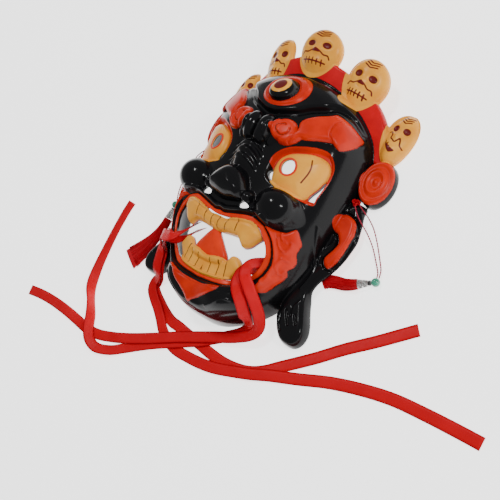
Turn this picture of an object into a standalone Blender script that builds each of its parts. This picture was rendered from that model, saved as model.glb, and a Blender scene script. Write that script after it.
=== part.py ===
"""Tibetan opera mask: a moulded face that lies on its back rim, with two ribbons and two ear tassels.

The relief is worked out on a drawing of the mask seen from the front, 264 units from chin to crown,
with x to the right, y to the crown and z out of the face. One unit is a millimetre at the real height.
"""
import math

import bmesh
import bpy
import numpy as np
from mathutils import Vector

# Driving sizes, in metres
MASK_HEIGHT = 0.264          # chin to the top of the middle skull
WALL = 0.0024                # plastic of the shell
RIBBON_WIDTH = 0.010
RIBBON_THICK = 0.0005
CORD = 0.0013                # one strand of a tassel's cord
BEAD = 0.0072                # green bead, across
SPACER = 0.0044              # dark disc between bead and cap, across
SPACER_THICK = 0.0016
CAP = 0.0076                 # silver cap, across its mouth
CAP_LENGTH = 0.0086
TASSEL_WIDTH = 0.0086        # silk just below the cap
GAP = 0.0003                 # air between pieces that touch

# Mesh sizes, in drawing units
GRID_STEP = 2.4
RIBBON_STEP = 7.0
KEEP_SHARE = 0.18            # of the grid's triangles, after flat areas are merged

# The drawing: its units, its middle and its outline
DRAWN_CHIN = -114.0
DRAWN_CROWN = 150.0
UNIT = MASK_HEIGHT / (DRAWN_CROWN - DRAWN_CHIN)
MIDDLE = (DRAWN_CROWN + DRAWN_CHIN) / 2
HALF_ACROSS = 105.0

# Outlines of the right half. One that starts and ends at x = 0 is mirrored into a closed shape.
FACE = [(0, -114), (14, -112.5), (28, -106.5), (46, -94), (60, -78), (68, -62), (74, -42), (77, -20), (79, 3), (79, 33),
        (78, 56), (72, 75), (60, 89), (43, 100), (23, 107), (0, 109)]
BAND = [(0, 96), (0, 127), (22, 124), (40, 119), (58, 111), (72, 98), (80, 82), (84, 64), (70, 64), (60, 76), (40, 90)]
EAR = [(88, 27), (91, 21), (94, 13), (96, 5), (97.5, -3), (96.5, -12), (95, -20), (92, -29), (88, -37), (84.5, -43),
       (82.5, -49), (81.5, -56), (83, -63), (87, -71), (91.5, -79), (94, -87), (93, -94.5), (89, -99.5), (83, -101),
       (75.5, -99.5), (69, -94), (64.5, -87.5), (61.5, -80.5), (62, -60), (64, -30), (68, 0), (72, 20), (80, 28)]
BEAN = [(76.5, -0.5), (75, 3.5), (75, 8.5), (76.5, 12.5), (79, 14.5), (82.5, 14.5), (88.5, 12.5), (92, 8.5),
        (94, 2), (94, -4), (93.5, -11), (92.5, -19), (91, -25), (89, -29.5), (86.5, -31.5), (82.5, -29.5),
        (80.5, -25), (82, -20.5), (84.5, -15), (85.5, -9.5), (83, -5), (80.5, -2.5), (78, -2)]
EYE_SOCKET = [(22.5, 23), (23, 27.5), (26.5, 33.5), (33, 39), (40, 42.5), (48, 46), (54.5, 48), (60.5, 48), (64.5, 44),
              (66.5, 38.5), (67, 30.5), (66.5, 21.5), (65.5, 12.5), (65, 5.5), (58, 4), (47, 4), (39, 4), (31, 6),
              (25, 9.5), (23, 15)]
EYEBALL = [(27, 21.5), (28.5, 28.5), (33.5, 34.5), (42, 39), (50, 42), (57.5, 42.5), (62, 40.5), (64, 36), (64.5, 31),
           (64, 26), (62, 19.5), (58.5, 9), (55, 5), (47, 4), (39, 4), (31, 7), (29, 10), (27.5, 15)]
OUTER_GAP = [(58.5, 8.5), (61, 8), (63.5, 9), (64, 13.5), (65, 26), (64, 26.5), (62, 19.5)]
INNER_GAP = [(24.5, 12.5), (28, 9.5), (29.5, 10.5), (27, 17.5), (24.5, 16)]
BROW = [(33, 53.5), (31.5, 60), (33.5, 65), (38.5, 70.5), (46.5, 77), (49.5, 80.5), (55, 80), (60.5, 78), (65, 75.5),
        (68.5, 73), (69.5, 69), (68.5, 61), (65, 54), (61.5, 54.5), (58.5, 56), (52.5, 53.5), (43, 49), (39, 47.5),
        (36, 43), (30, 38.5), (22.5, 38.5), (24, 46), (30, 50)]
LIPS = [(0, -29.5), (5.5, -30), (15.5, -27.5), (25, -25), (31, -24), (36.5, -25), (41.5, -26.5), (46, -30), (50.5, -35),
        (53.5, -43), (54, -50.5), (52, -58), (49, -64), (43, -71), (37, -76), (28.5, -81), (17.5, -83.5), (5, -84.5),
        (0, -85)]
MOUTH = [(0, -33), (15, -31), (25, -28.5), (33, -27.5), (39.5, -29.5), (44, -34), (48.5, -40), (50.5, -46), (50, -53),
         (48, -59.5), (44, -66), (38, -71), (32, -75.5), (22, -79), (12, -80.5), (0, -81.5)]
UPPER_TEETH = [(0, -33.5), (8.5, -33.5), (15, -31.5), (22, -29.5), (29, -28), (34.5, -28), (39, -30), (42, -33.5),
               (42.5, -36), (39.5, -40), (35.5, -45.5), (30.5, -48.5), (28, -47), (24.5, -43.5), (21, -43), (14, -43.5),
               (6, -44.5), (0, -44.5)]
LOWER_TEETH = [(0, -66), (9.5, -64), (16, -63), (18.5, -63.5), (20.5, -61.5), (22.5, -58.5), (25, -57), (28.5, -57.5),
               (32.5, -61.5), (35.5, -66), (32.5, -71), (27.5, -76), (21.5, -79), (12.5, -81), (0, -82)]
TONGUE = [(0, -41), (2.5, -43), (5.5, -46.5), (11.5, -53.5), (17.5, -62), (14, -69), (0, -71)]
GOATEE = [(0, -89), (13, -88.5), (22, -86), (28, -85), (20, -93.5), (12, -99), (5, -103.5), (0, -107)]
FLAMES = [(42.5, -26.5), (48, -26), (54, -25), (58.5, -23.5), (61, -20.5), (63.5, -17.5), (66, -21), (68, -26),
          (67.5, -30), (67, -34), (68, -39.5), (67, -44), (65, -48), (65, -52), (63, -57.5), (60, -63), (57, -68.5),
          (54, -72.5), (49, -75.5), (44, -77.5), (49, -71.5), (52.5, -65), (55.5, -58), (57.5, -50.5), (57, -43),
          (54.5, -36.5), (50.5, -31.5), (46, -28)]
NOSE = [(0, 11), (9, 8), (17, -1.5), (20, -10.5), (16, -17.5), (8, -20), (0, -21)]
CREASE = [(0, 60), (5.5, 60.5), (17.5, 65), (24.5, 68.5), (30, 73.5), (39, 79.5), (46.5, 85.5), (56, 85), (66, 79)]

# Ovals: middle, then half width and half height
EAR_DISC = ((89, 48), (13.5, 20))
PUPIL = ((39.7, 23.5), (5.4, 6.3))
CHEEK = ((43.5, -9.5), (17.5, 16))
NOSE_WING = ((20.5, -12), (7, 7.5))
NOSTRIL = ((20.5, -19), (4.8, 2.8))
THIRD_EYE = ((0, 85), (21.5, 18))
BUTTON = ((0, 83), (12, 12))
BROW_CURL = ((23, 49.5), (10.3, 10.3))
CHIN_PAD = ((28, -93), (22, 13))
FOLDS = (((6.5, 45), (7.5, 14), 11.0), ((15, 45), (5.5, 12), 4.0))
SKULLS = (  # middle, half sizes, lean in degrees, height of its base and that base's slopes along x and y
    ((0, 129), (20, 21), 0.0, 39.5, (0.0, 0.27)),
    ((46, 117.5), (16, 24), -6.0, 24.5, (-0.3, 0.17)),
    ((86, 89.6), (12, 24), -2.0, 2.0, (-0.15, -0.15)),
)

# What lies free, in drawing units on the table: each ribbon's middle line, with its bank in degrees
RIBBONS = {
    "ribbon_right_a": [
        (58, -41, 12, 0), (51, -47, 23, -5), (45, -52, 35, -8), (42, -58, 44.5, -8),
        (44, -66.5, 48, -14), (49.5, -75, 41, -30), (53.5, -82.5, 31, -34), (57, -90, 22, -34),
        (58, -97, 15.5, -28), (55, -103, 11.5, -15), (49, -108, 8.8, -5), (40.5, -112.5, 6.6, 0),
        (30, -117.3, 4.9, 0), (15, -123.5, 4, 0), (-17, -138, 3.8, 0), (-40, -149.5, 3.5, 0),
        (-56, -157, 2.6, 0), (-68, -162.5, 2.5, 0), (-78, -166.5, 2, 0), (-88, -170, 1, 0),
        (-105, -175, 0.8, 0), (-122, -176.5, 0.9, 0), (-138, -174.5, 1.7, 10), (-152, -173, 2.1, 14),
        (-170, -172, 1.6, 8), (-188, -172, 0.8, 0), (-204, -173, 0.8, 0), (-219, -175, 0.8, 0)],
    "ribbon_right_b": [
        (58, -46, 6, 0), (50, -51, 17, -8), (42, -58, 29, -10), (38.5, -63.5, 42.8, -5),
        (38, -72, 44.8, -10), (41, -80, 43, -28), (45, -88, 35, -40), (46.5, -95.5, 24, -50),
        (44.5, -100, 10.5, -40), (41, -104.3, 3.4, -18), (35, -110, 1.4, 0), (26, -117, 1.5, 0),
        (16, -124, 2, 0), (2, -133, 2.3, 0), (-25, -147, 2.3, 0), (-40, -155, 2.1, 0), (-54, -163, 1.2, 0),
        (-68, -172, 1.2, 3), (-82, -181, 2.2, 12), (-98, -186, 3.4, 20), (-110, -183, 4.2, 28),
        (-117, -175, 5, 42), (-123, -163, 5.4, 62), (-131, -152, 5.6, 80), (-138, -144, 5.3, 68),
        (-143, -136, 4.3, 45), (-148, -122, 2.4, 20), (-151, -105, 1.3, 7), (-153, -82, 0.8, 0),
        (-153, -61, 0.8, 0), (-152, -49, 0.8, 0)],
    "ribbon_left_a": [
        (-51, -42, 16, 0), (-46, -48.5, 27, 5), (-42, -56, 39, 8), (-41.5, -64, 48.6, 4), (-49, -67, 47, 0),
        (-56, -66, 44, 0), (-62.5, -66.5, 38, 5), (-68.5, -69, 29.5, 10), (-73, -73, 21, 10),
        (-74.5, -79, 16, 5), (-73, -85, 15.2, 0), (-71.5, -91, 14.6, 0), (-70, -97, 12, 0),
        (-71, -102.5, 6, 0), (-74.5, -107, 2.7, 0), (-73, -113.5, 2.4, 0), (-66, -119.5, 2.4, 0),
        (-57, -125.5, 2.4, 0), (-48, -132.5, 2.4, 0), (-40, -140, 1.8, 0), (-30, -146, 0.9, 0),
        (-17, -149.5, 0.7, 0), (-2, -149.5, 0.7, 0), (14, -148.3, 1.4, 0), (30, -145.5, 2.2, 0),
        (48, -140, 2.3, 0), (64, -134.5, 2.3, 0), (80, -128, 2.3, 0), (94, -123, 2, 0),
        (106, -118.5, 0.9, 0), (130, -109.5, 0.8, 0), (156, -102.5, 0.8, 0), (181, -98, 0.8, 0),
        (207, -96.5, 0.8, 0), (232, -96, 0.8, 0), (251, -96, 0.8, 0)],
    "ribbon_left_b": [
        (-47, -45, 12, 0), (-43, -51.5, 23, 4), (-40, -58, 34, 8), (-40.5, -63.5, 41, 4),
        (-47, -65.5, 42.8, 0), (-54, -64, 41.5, 0), (-60, -64.5, 36, 5), (-66, -67, 27, 10),
        (-71, -71, 18.5, 10), (-73, -77, 14.4, 5), (-71.5, -83, 13.6, 0), (-70, -89, 13.1, 0),
        (-68.2, -95.5, 11, 0), (-68.8, -100.5, 5, 0), (-71, -105.5, 1.5, 0), (-72.5, -110.5, 0.9, 0),
        (-66, -116, 0.9, 0), (-57, -121, 0.9, 0), (-47, -126, 0.9, 0), (-36, -130, 0.8, 0),
        (-26, -131, 0.7, 0), (-12, -133, 0.7, 0), (4, -135, 0.7, 0), (18, -137, 0.7, 0),
        (32, -138, 0.7, 0), (47, -137, 0.7, 0), (61, -133.5, 0.7, 0), (73, -127, 0.8, 0),
        (83, -119, 0.8, 0), (108, -99, 0.8, 0), (128, -81.5, 0.8, 0), (149, -65, 0.8, 0),
        (174, -44, 0.8, 0)],
}
# Each tassel: its two strands from the ear, the bead with its way to the cap, and the silk after the cap
# with the half width and half height of each section
TASSELS = {
    "right": {
        "strands": [
            [(80.8, 27.4, 7.2), (82.2, 25.2, 13.4), (86, 20.5, 13.6), (91, 15.5, 12.8), (96, 11.5, 10),
             (101, 7.5, 6.3), (108.5, 0, 2.2), (117, -10, 1.3), (122.8, -17, 2), (125.1, -21, 3.7)],
            [(82.6, 28.6, 9.4), (84.6, 27.2, 12.2), (88, 24.5, 12.2), (93, 21.5, 11.5), (98, 18.5, 9.6),
             (104, 13, 6), (110.5, 4.5, 2.6), (117, -4.5, 1.3), (124, -14, 1.8), (127, -21, 3.7)]],
        "bead": (126, -25, 3.75), "toward cap": (-0.88, -0.475, 0.017),
        "silk": [((113, -32, 3.95), 4.3, 3.6), ((108, -34.5, 3.7), 4.9, 3.4), ((102, -36.5, 3.2), 5.3, 2.8),
                 ((95, -37.5, 2.9), 5.6, 2.5), ((88, -39.5, 2.8), 5.9, 2.4), ((84.5, -43, 2.7), 6.2, 2.3)]},
    "left": {
        "strands": [
            [(-80.8, 27.4, 7.2), (-82.2, 25.2, 13.4), (-87, 20.5, 13.4), (-92, 16.5, 11.8), (-98, 11, 8),
             (-102, 4, 3.4), (-103.5, -8, 1.3), (-101, -21, 1.6), (-96.3, -30, 3.7)],
            [(-82.6, 28.6, 9.4), (-84.6, 27.2, 12.2), (-89, 24, 12), (-95, 20, 10), (-101, 14, 6.5),
             (-105.2, 5, 2.6), (-106.3, -7, 1.3), (-103.8, -20, 1.6), (-98.2, -30, 3.7)]],
        "bead": (-97, -34, 3.75), "toward cap": (0.066, -0.9977, 0.017),
        "silk": [((-96, -49, 3.95), 4.3, 3.6), ((-96.5, -55, 3.6), 5, 3.3), ((-98.5, -64, 2.9), 6, 2.6),
                 ((-102.5, -75, 2.4), 8, 2.1), ((-108.5, -87, 2.1), 11, 1.8), ((-116, -99.5, 1.9), 14, 1.6)]},
}

# Height of the face along the middle line, without its features, as y and z
MIDLINE = [(-122, 36), (-110, 39), (-100, 42), (-90, 44), (-80, 45), (-70, 46), (-60, 50), (-45, 56), (-30, 60),
           (-15, 62), (0, 62), (30, 63), (50, 64), (65, 61), (80, 55), (95, 49), (105, 45), (115, 42), (125, 40)]
SIDE_FALL = 26.0             # how much lower the face is 70 units from the middle line
EDGE_ROLL = 18.0             # breadth of the round edge of the face
SKULL_RISE = 10.0
EAR_TOP = 12.0
EAR_LIFT = 6.5               # the ear stands this far over the table between its disc and its lobe
THINNEST = 1.2               # edges are at least this thick


def smooth_step(t):
    t = np.clip(t, 0.0, 1.0)
    return t * t * (3.0 - 2.0 * t)


def smooth_max(a, b, blend):
    mix = np.clip(0.5 + 0.5 * (a - b) / blend, 0.0, 1.0)
    return b + (a - b) * mix + blend * mix * (1.0 - mix)


def ridge(distance, width):
    """1 on a line and 0 from half the width away."""
    return smooth_step(1.0 - np.abs(distance) * 2.0 / width)


def pillow(inside, roll):
    """0 on an outline, rising as a quarter round to 1 at the roll's breadth inside it."""
    t = np.clip(inside / roll, 0.0, 1.0)
    return np.sqrt(t * (2.0 - t))


def smooth_line(points, closed, steps=7):
    """A Catmull-Rom curve through the points."""
    p = np.array(points, float)
    count = len(p)
    out = []
    for i in range(count if closed else count - 1):
        b, c = p[i], p[(i + 1) % count]
        a = p[i - 1] if closed or i else 2 * b - c
        d = p[(i + 2) % count] if closed or i + 2 < count else 2 * c - b
        for k in range(steps):
            t = k / steps
            out.append(0.5 * (2 * b + (c - a) * t + (2 * a - 5 * b + 4 * c - d) * t * t
                              + (3 * b - a - 3 * c + d) * t ** 3))
    if not closed:
        out.append(p[-1])
    return np.array(out)


def line_distance(u, y, line, closed):
    """Distance to a polyline; for a closed one it is negative outside."""
    best = np.full(u.shape, 1e9)
    inside = np.zeros(u.shape, bool)
    ends = np.roll(line, -1, axis=0) if closed else line[1:]
    for (ax, ay), (bx, by) in zip(line, ends):
        dx, dy = bx - ax, by - ay
        px, py = u - ax, y - ay
        t = np.clip((px * dx + py * dy) / max(dx * dx + dy * dy, 1e-9), 0.0, 1.0)
        best = np.minimum(best, np.hypot(px - t * dx, py - t * dy))
        if closed and ay != by:
            inside ^= ((ay > y) != (by > y)) & (u < ax + dx * (y - ay) / dy)
    return np.where(inside, best, -best) if closed else best


def shape(u, y, points):
    """How far inside an outline a point lies."""
    if points[0][0] == 0 and points[-1][0] == 0:
        points = points + [(-px, py) for px, py in reversed(points) if px > 0]
    return line_distance(u, y, smooth_line(points, True), True)


def oval(u, y, centre, radii):
    """About how far inside an ellipse a point lies."""
    a, b = (u - centre[0]) / radii[0], (y - centre[1]) / radii[1]
    r = np.hypot(a, b)
    g = np.hypot(a / radii[0], b / radii[1])
    return np.where(g > 1e-9, r * (1.0 - r) / np.maximum(g, 1e-9), min(radii))


def rings(u, y, centre, radii):
    """0 in the middle of an ellipse and 1 on it."""
    return np.hypot((u - centre[0]) / radii[0], (y - centre[1]) / radii[1])


def half_ball(q):
    return np.sqrt(np.clip(1.0 - q * q, 0.0, 1.0))


def rim_height(x, y):
    """How high the back rim stands over the table: an arch round the crown, and a lift under each ear."""
    u = np.abs(x)
    arch = np.clip(1.0 - (u / 86.0) ** 1.8, 0.0, 1.0)
    crown = arch * (33.0 * smooth_step((y - 35.0) / 65.0) + 0.26 * np.clip(y - 105.0, 0.0, None))
    ear = EAR_LIFT * smooth_step((u - 76.0) / 5.0) * smooth_step((30.0 - y) / 14.0) * smooth_step((y + 64.0) / 14.0)
    return crown + ear


def on_skull(u, y, skull):
    """Where a point is on a skull, as shares of its half width and half height, and how far inside its edge."""
    centre, (half, tall), lean = skull[:3]
    c, s = math.cos(math.radians(lean)), math.sin(math.radians(lean))
    dx, dy = u - centre[0], y - centre[1]
    a, b = (dx * c + dy * s) / half, (dy * c - dx * s) / tall
    narrow = 1.0 + 0.16 * np.clip(b, -1.2, 1.0) - 0.06 * np.clip(b, 0.0, 1.0) ** 2
    r = np.hypot(a / narrow, b)
    g = np.hypot(a / narrow / half, b / tall)
    return a, b, np.where(g > 1e-9, r * (1.0 - r) / np.maximum(g, 1e-9), min(half, tall))


def regions(x, y):
    """How far inside each carved region a point lies."""
    u = np.abs(x)
    inside = {name: shape(u, y, points) for name, points in {
        "face": FACE, "band": BAND, "ear": EAR, "bean": BEAN, "socket": EYE_SOCKET, "eyeball": EYEBALL,
        "outer gap": OUTER_GAP, "inner gap": INNER_GAP, "brow": BROW, "lips": LIPS, "mouth": MOUTH,
        "upper teeth": UPPER_TEETH, "lower teeth": LOWER_TEETH, "tongue": TONGUE, "goatee": GOATEE,
        "flames": FLAMES, "nose": NOSE}.items()}
    for name, (centre, radii) in {"disc": EAR_DISC, "pupil": PUPIL, "nostril": NOSTRIL, "third eye": THIRD_EYE,
                                  "curl": BROW_CURL}.items():
        inside[name] = oval(u, y, centre, radii)
    inside["brow"] = np.maximum(inside["brow"], inside["curl"])
    inside["skull"] = np.maximum.reduce([on_skull(u, y, skull)[2] for skull in SKULLS])
    outline = np.maximum.reduce([inside[name] for name in ("face", "band", "ear", "disc", "skull")])
    biting = np.maximum.reduce([inside[name] for name in ("upper teeth", "lower teeth", "tongue")])
    holes = np.maximum.reduce([inside["pupil"], inside["outer gap"], inside["inner gap"], inside["nostril"],
                               np.minimum(inside["mouth"], -biting)])
    inside["outline"] = outline
    inside["plastic"] = np.minimum(outline, -holes)
    return inside


def face_height(u, y, inside):
    """Front of the face over the table."""
    rim = rim_height(u * 0.0 + np.minimum(u, 76.0), y)
    middle = smooth_line(MIDLINE, False)
    bare = np.interp(y, middle[:, 0], middle[:, 1]) - SIDE_FALL * (u / 70.0) ** 2.6
    roll = EDGE_ROLL * (1.0 - 0.5 * smooth_step((-80.0 - y) / 25.0))
    z = rim + np.maximum(bare - rim, 8.0) * pillow(inside["face"], roll)
    # forehead bulging over its crease, with the third eye
    over = shape(u, y, CREASE + [(75, 85), (60, 125), (0, 125)])
    crease = line_distance(u, y, smooth_line(CREASE, False), False)
    z += (4.0 * smooth_step(over / 5.0) - 2.0 * ridge(crease, 7.0)) * smooth_step(inside["face"] / 6.0)
    z += 2.5 * smooth_step(inside["third eye"] / 3.0)
    q = rings(u, y, *BUTTON)
    z += 9.0 * np.sqrt(np.clip(1.0 - q ** 2.6, 0.0, 1.0)) - 1.5 * ridge((q - 1.08) * BUTTON[1][0], 3.0)
    # folds between the brows, then the brows
    for centre, radii, lift in FOLDS:
        z += lift * half_ball(rings(u, y, centre, radii))
    z += 5.5 * pillow(inside["brow"], 4.0)
    # eyeball in its socket
    z += 8.0 * pillow(inside["eyeball"], 14.0) - 5.0 * smooth_step(inside["socket"] / 3.0)
    # cheek, nose bridge, nose and its wings
    q = rings(u, y, *CHEEK)
    z = smooth_max(z, 52.0 + 17.0 * half_ball(q) - 60.0 * np.clip(q - 1.0, 0.0, 1.0), 3.0)
    z += 8.0 * smooth_step(1.15 - rings(u, y, (0, 19), (13, 22)))
    z = smooth_max(z, 55.0 + 24.0 * pillow(inside["nose"], 15.0) - 15.0 * np.clip(-inside["nose"], 0.0, 4.0), 2.0)
    q = rings(u, y, *NOSE_WING)
    z = smooth_max(z, 53.0 + 15.0 * half_ball(q) - 60.0 * np.clip(q - 1.0, 0.0, 1.0), 2.0)
    # mouth
    z += 3.0 * ridge(inside["lips"] + 3.5, 6.0) - 1.5 * ridge(inside["lips"] + 0.6, 2.4)
    z -= 6.0 * smooth_step(inside["mouth"] / 3.0)
    z += 8.0 * pillow(inside["upper teeth"], 5.0) + 6.0 * pillow(inside["lower teeth"], 5.0)
    z += 5.0 * pillow(inside["tongue"], 8.0)
    # chin and beard
    z += 5.0 * smooth_step(1.2 - rings(u, y, *CHIN_PAD))
    z += 3.0 * pillow(inside["goatee"], 3.0) + 2.5 * pillow(inside["flames"], 3.0)
    return z


def front_height(x, y, inside):
    """Front of the whole mask over the table."""
    u = np.abs(x)
    rim = rim_height(x, y)
    front = rim + THINNEST

    def add(region, height):
        return np.where(inside[region] > 0, np.maximum(front, height), front)

    front = add("face", face_height(u, y, inside))
    coil = np.cos(rings(u, y, *EAR_DISC) * math.tau * 2.2)
    front = add("disc", 8.0 * pillow(inside["disc"], 5.0) + 0.3 * (104.0 - u) + coil)
    bean = 2.5 * pillow(inside["bean"], 3.0) - 2.0 * ridge(inside["bean"] + 1.2, 2.5)
    front = add("ear", np.maximum(rim, 0.4 * EAR_TOP * pillow(inside["ear"], 3.0))
                + (EAR_TOP - np.maximum(rim, 0.4 * EAR_TOP)) * pillow(inside["ear"], 7.0) + bean)
    front = add("band", rim + 6.0 * pillow(inside["band"], 3.0))
    for skull in SKULLS:
        a, b, edge = on_skull(u, y, skull)
        centre, radii, _, base, slope = skull
        rise = SKULL_RISE * pillow(edge, 0.95 * min(radii))
        for eye in (-0.4, 0.4):
            rise -= 2.0 * smooth_step(1.25 - rings(a, b, (eye, 0.26), (0.26, 0.17)))
        rise += 1.8 * smooth_step(1.0 - rings(a, b, (0, 0.02), (0.25, 0.25)))
        rise += 1.6 * smooth_step(1.0 - rings(a, b, (0, -0.42), (0.62, 0.28)))
        lean = base + slope[0] * (u - centre[0]) + slope[1] * (y - centre[1])
        front = np.where(edge > 0, np.maximum(front, lean + rise), front)
    return front


def back_height(x, y, wall):
    """Back of the mask over the table: a hollow one wall behind the face, and flat outside the face."""
    rim = rim_height(x, y)
    behind = np.full(x.shape, 1e9)
    around = [(0.0, 0.0)] + [(0.9 * wall * math.cos(turn * math.tau / 8), 0.9 * wall * math.sin(turn * math.tau / 8))
                             for turn in range(8)]
    for dx, dy in around:
        px, py = x + dx, y + dy
        inside = regions(px, py)
        here = np.where(inside["face"] > 0, face_height(np.abs(px), py, inside), rim)
        behind = np.minimum(behind, here - math.sqrt(wall * wall - dx * dx - dy * dy))
    return np.maximum(behind, rim)


def material(name, colour, roughness, metallic=0.0):
    made = bpy.data.materials.new(name)
    made.use_nodes = True
    shader = made.node_tree.nodes["Principled BSDF"]
    shader.inputs["Base Color"].default_value = (*colour, 1.0)
    shader.inputs["Roughness"].default_value = roughness
    shader.inputs["Metallic"].default_value = metallic
    made.diffuse_color = (*colour, 1.0)
    return made


def add_piece(name, mesh, finish):
    made = bpy.data.objects.new(name, mesh)
    made.data.materials.append(finish)
    pieces.objects.link(made)
    return made


def to_metres(points):
    """Drawing units to metres, with the origin under the middle of the mask."""
    return (np.asarray(points, float) - (0.0, MIDDLE, 0.0)) * UNIT


def trim_to_outline(bm, plastic):
    """Leave the faces that are on the plastic, as one sheet, and move its border onto the outline."""
    middles = np.array([face.calc_center_median()[:2] for face in bm.faces])
    keep = plastic(middles[:, 0], middles[:, 1]) > 0.0
    bmesh.ops.delete(bm, geom=[face for face, kept in zip(bm.faces, keep) if not kept], context="FACES")
    while True:
        pinched = [v for v in bm.verts if sum(edge.is_boundary for edge in v.link_edges) > 2]
        if not pinched:
            break
        faces = {face for v in pinched for face in v.link_faces}
        bmesh.ops.delete(bm, geom=list(faces), context="FACES")
    border = [v for v in bm.verts if v.is_boundary]
    near = {edge.other_vert(v) for v in border for edge in v.link_edges} - set(border)
    probe = 0.1
    for _ in range(4):
        x, y = np.array([v.co[:2] for v in border]).T
        away = plastic(x, y)
        slope_x = (plastic(x + probe, y) - plastic(x - probe, y)) / (2 * probe)
        slope_y = (plastic(x, y + probe) - plastic(x, y - probe)) / (2 * probe)
        steep = np.maximum(slope_x ** 2 + slope_y ** 2, 0.25)
        for v, dx, dy in zip(border, -away * slope_x / steep, -away * slope_y / steep):
            v.co.x += 0.8 * max(-GRID_STEP, min(GRID_STEP, dx))
            v.co.y += 0.8 * max(-GRID_STEP, min(GRID_STEP, dy))
    for _ in range(3):
        for v in near:
            around = [edge.other_vert(v).co for edge in v.link_edges]
            v.co = 0.4 * v.co + 0.6 * sum(around[1:], around[0].copy()) / len(around)


def make_mask():
    """Both skins come from one flat sheet: Solidify doubles it, and each side is then given its height."""
    across, along = 2 * HALF_ACROSS, DRAWN_CROWN - DRAWN_CHIN + 2 * GRID_STEP
    bm = bmesh.new()
    bmesh.ops.create_grid(bm, x_segments=2 * round(across / GRID_STEP / 2), y_segments=round(along / GRID_STEP),
                          size=0.5)
    for v in bm.verts:
        v.co = (v.co.x * across, v.co.y * along + MIDDLE, 0.0)
    trim_to_outline(bm, lambda x, y: regions(x, y)["plastic"])
    bmesh.ops.triangulate(bm, faces=bm.faces[:], quad_method="BEAUTY")
    sheet = bpy.data.meshes.new("mask")
    bm.to_mesh(sheet)
    bm.free()
    mask = add_piece("mask", sheet, material("black plastic", (0.012, 0.012, 0.014), 0.2))

    solidify = mask.modifiers.new("two skins", "SOLIDIFY")
    solidify.thickness, solidify.offset = 1.0, -1.0
    mask.data = bpy.data.meshes.new_from_object(mask.evaluated_get(bpy.context.evaluated_depsgraph_get()))
    mask.modifiers.clear()
    co = np.empty(len(mask.data.vertices) * 3)
    mask.data.vertices.foreach_get("co", co)
    co = co.reshape(-1, 3)
    is_front = co[:, 2] > -0.5
    x, y = co[:, 0], co[:, 1]
    front = front_height(x, y, regions(x, y))
    back = back_height(x, y, WALL / UNIT)
    back = np.minimum(back, front - THINNEST * 0.99)
    co[:, 2] = np.where(is_front, front, back)
    mask.data.vertices.foreach_set("co", to_metres(co).ravel())
    merge = mask.modifiers.new("merge flat areas", "DECIMATE")
    merge.ratio = KEEP_SHARE
    return mask

def read_route(points, step):
    """Points at even steps along the smooth curve through a route's own points."""
    fine = smooth_line(points, False, 12)
    run = np.concatenate([[0.0], np.cumsum(np.linalg.norm(np.diff(fine[:, :3], axis=0), axis=1))])
    places = np.linspace(0.0, run[-1], max(round(run[-1] / step), 2) + 1)
    return np.array([np.interp(places, run, column) for column in fine.T]).T


def make_ribbon(name, points, finish):
    """A strip of quads along the route, banked as the route says, with Solidify for the satin's thickness."""
    stations = read_route(points, RIBBON_STEP)
    line, bank = stations[:, :3], np.radians(stations[:, 3:])
    ahead = np.gradient(line, axis=0)
    ahead /= np.linalg.norm(ahead, axis=1, keepdims=True)
    level = np.cross((0.0, 0.0, 1.0), ahead)
    level /= np.linalg.norm(level, axis=1, keepdims=True)
    side = np.cos(bank) * level + np.sin(bank) * np.cross(ahead, level)
    half = 0.5 * RIBBON_WIDTH / UNIT
    bm = bmesh.new()
    pairs = [[bm.verts.new(to_metres(p + s * half * way)) for way in (-1, 1)] for p, s in zip(line, side)]
    for (a, b), (c, d) in zip(pairs, pairs[1:]):
        bm.faces.new((a, b, d, c))
    mesh = bpy.data.meshes.new(name)
    bm.to_mesh(mesh)
    bm.free()
    ribbon = add_piece(name, mesh, finish)
    thickness = ribbon.modifiers.new("satin", "SOLIDIFY")
    thickness.thickness, thickness.offset = RIBBON_THICK, 0.0


def make_strand(name, points, finish):
    curve = bpy.data.curves.new(name, "CURVE")
    curve.dimensions = "3D"
    curve.bevel_depth, curve.bevel_resolution, curve.use_fill_caps = CORD / 2, 2, True
    line = read_route(points, 3.0 * CORD / UNIT)
    spline = curve.splines.new("POLY")
    spline.points.add(len(line) - 1)
    for point, place in zip(spline.points, to_metres(line)):
        point.co = (*place, 1.0)
    add_piece(name, curve, finish)


def add_primitive(name, bm, place, along, finish):
    """A round piece made along Z, turned to lie along a direction."""
    mesh = bpy.data.meshes.new(name)
    bm.to_mesh(mesh)
    bm.free()
    made = add_piece(name, mesh, finish)
    made.location = place
    made.rotation_euler = Vector(along).to_track_quat("Z", "Y").to_euler()


def make_silk(name, sections, finish):
    """A loft through flattened rounds, closed at both ends."""
    line = to_metres([place for place, _, _ in sections])
    ahead = np.gradient(line, axis=0)
    bm = bmesh.new()
    loops = []
    for place, way, (_, wide, high) in zip(line, ahead, sections):
        side = np.array((-way[1], way[0], 0.0)) / math.hypot(way[0], way[1])
        turns = [math.tau * k / 12 for k in range(12)]
        loops.append([bm.verts.new(place + (side * math.cos(t) * wide + (0.0, 0.0, math.sin(t) * high))
                                   * TASSEL_WIDTH / 2 / sections[0][1]) for t in turns])
    for a, b in zip(loops, loops[1:]):
        for k in range(12):
            bm.faces.new((a[k], a[k - 1], b[k - 1], b[k]))
    bm.faces.new(loops[0])
    bm.faces.new(loops[-1][::-1])
    bmesh.ops.recalc_face_normals(bm, faces=bm.faces[:])
    mesh = bpy.data.meshes.new(name)
    bm.to_mesh(mesh)
    bm.free()
    add_piece(name, mesh, finish)


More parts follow.
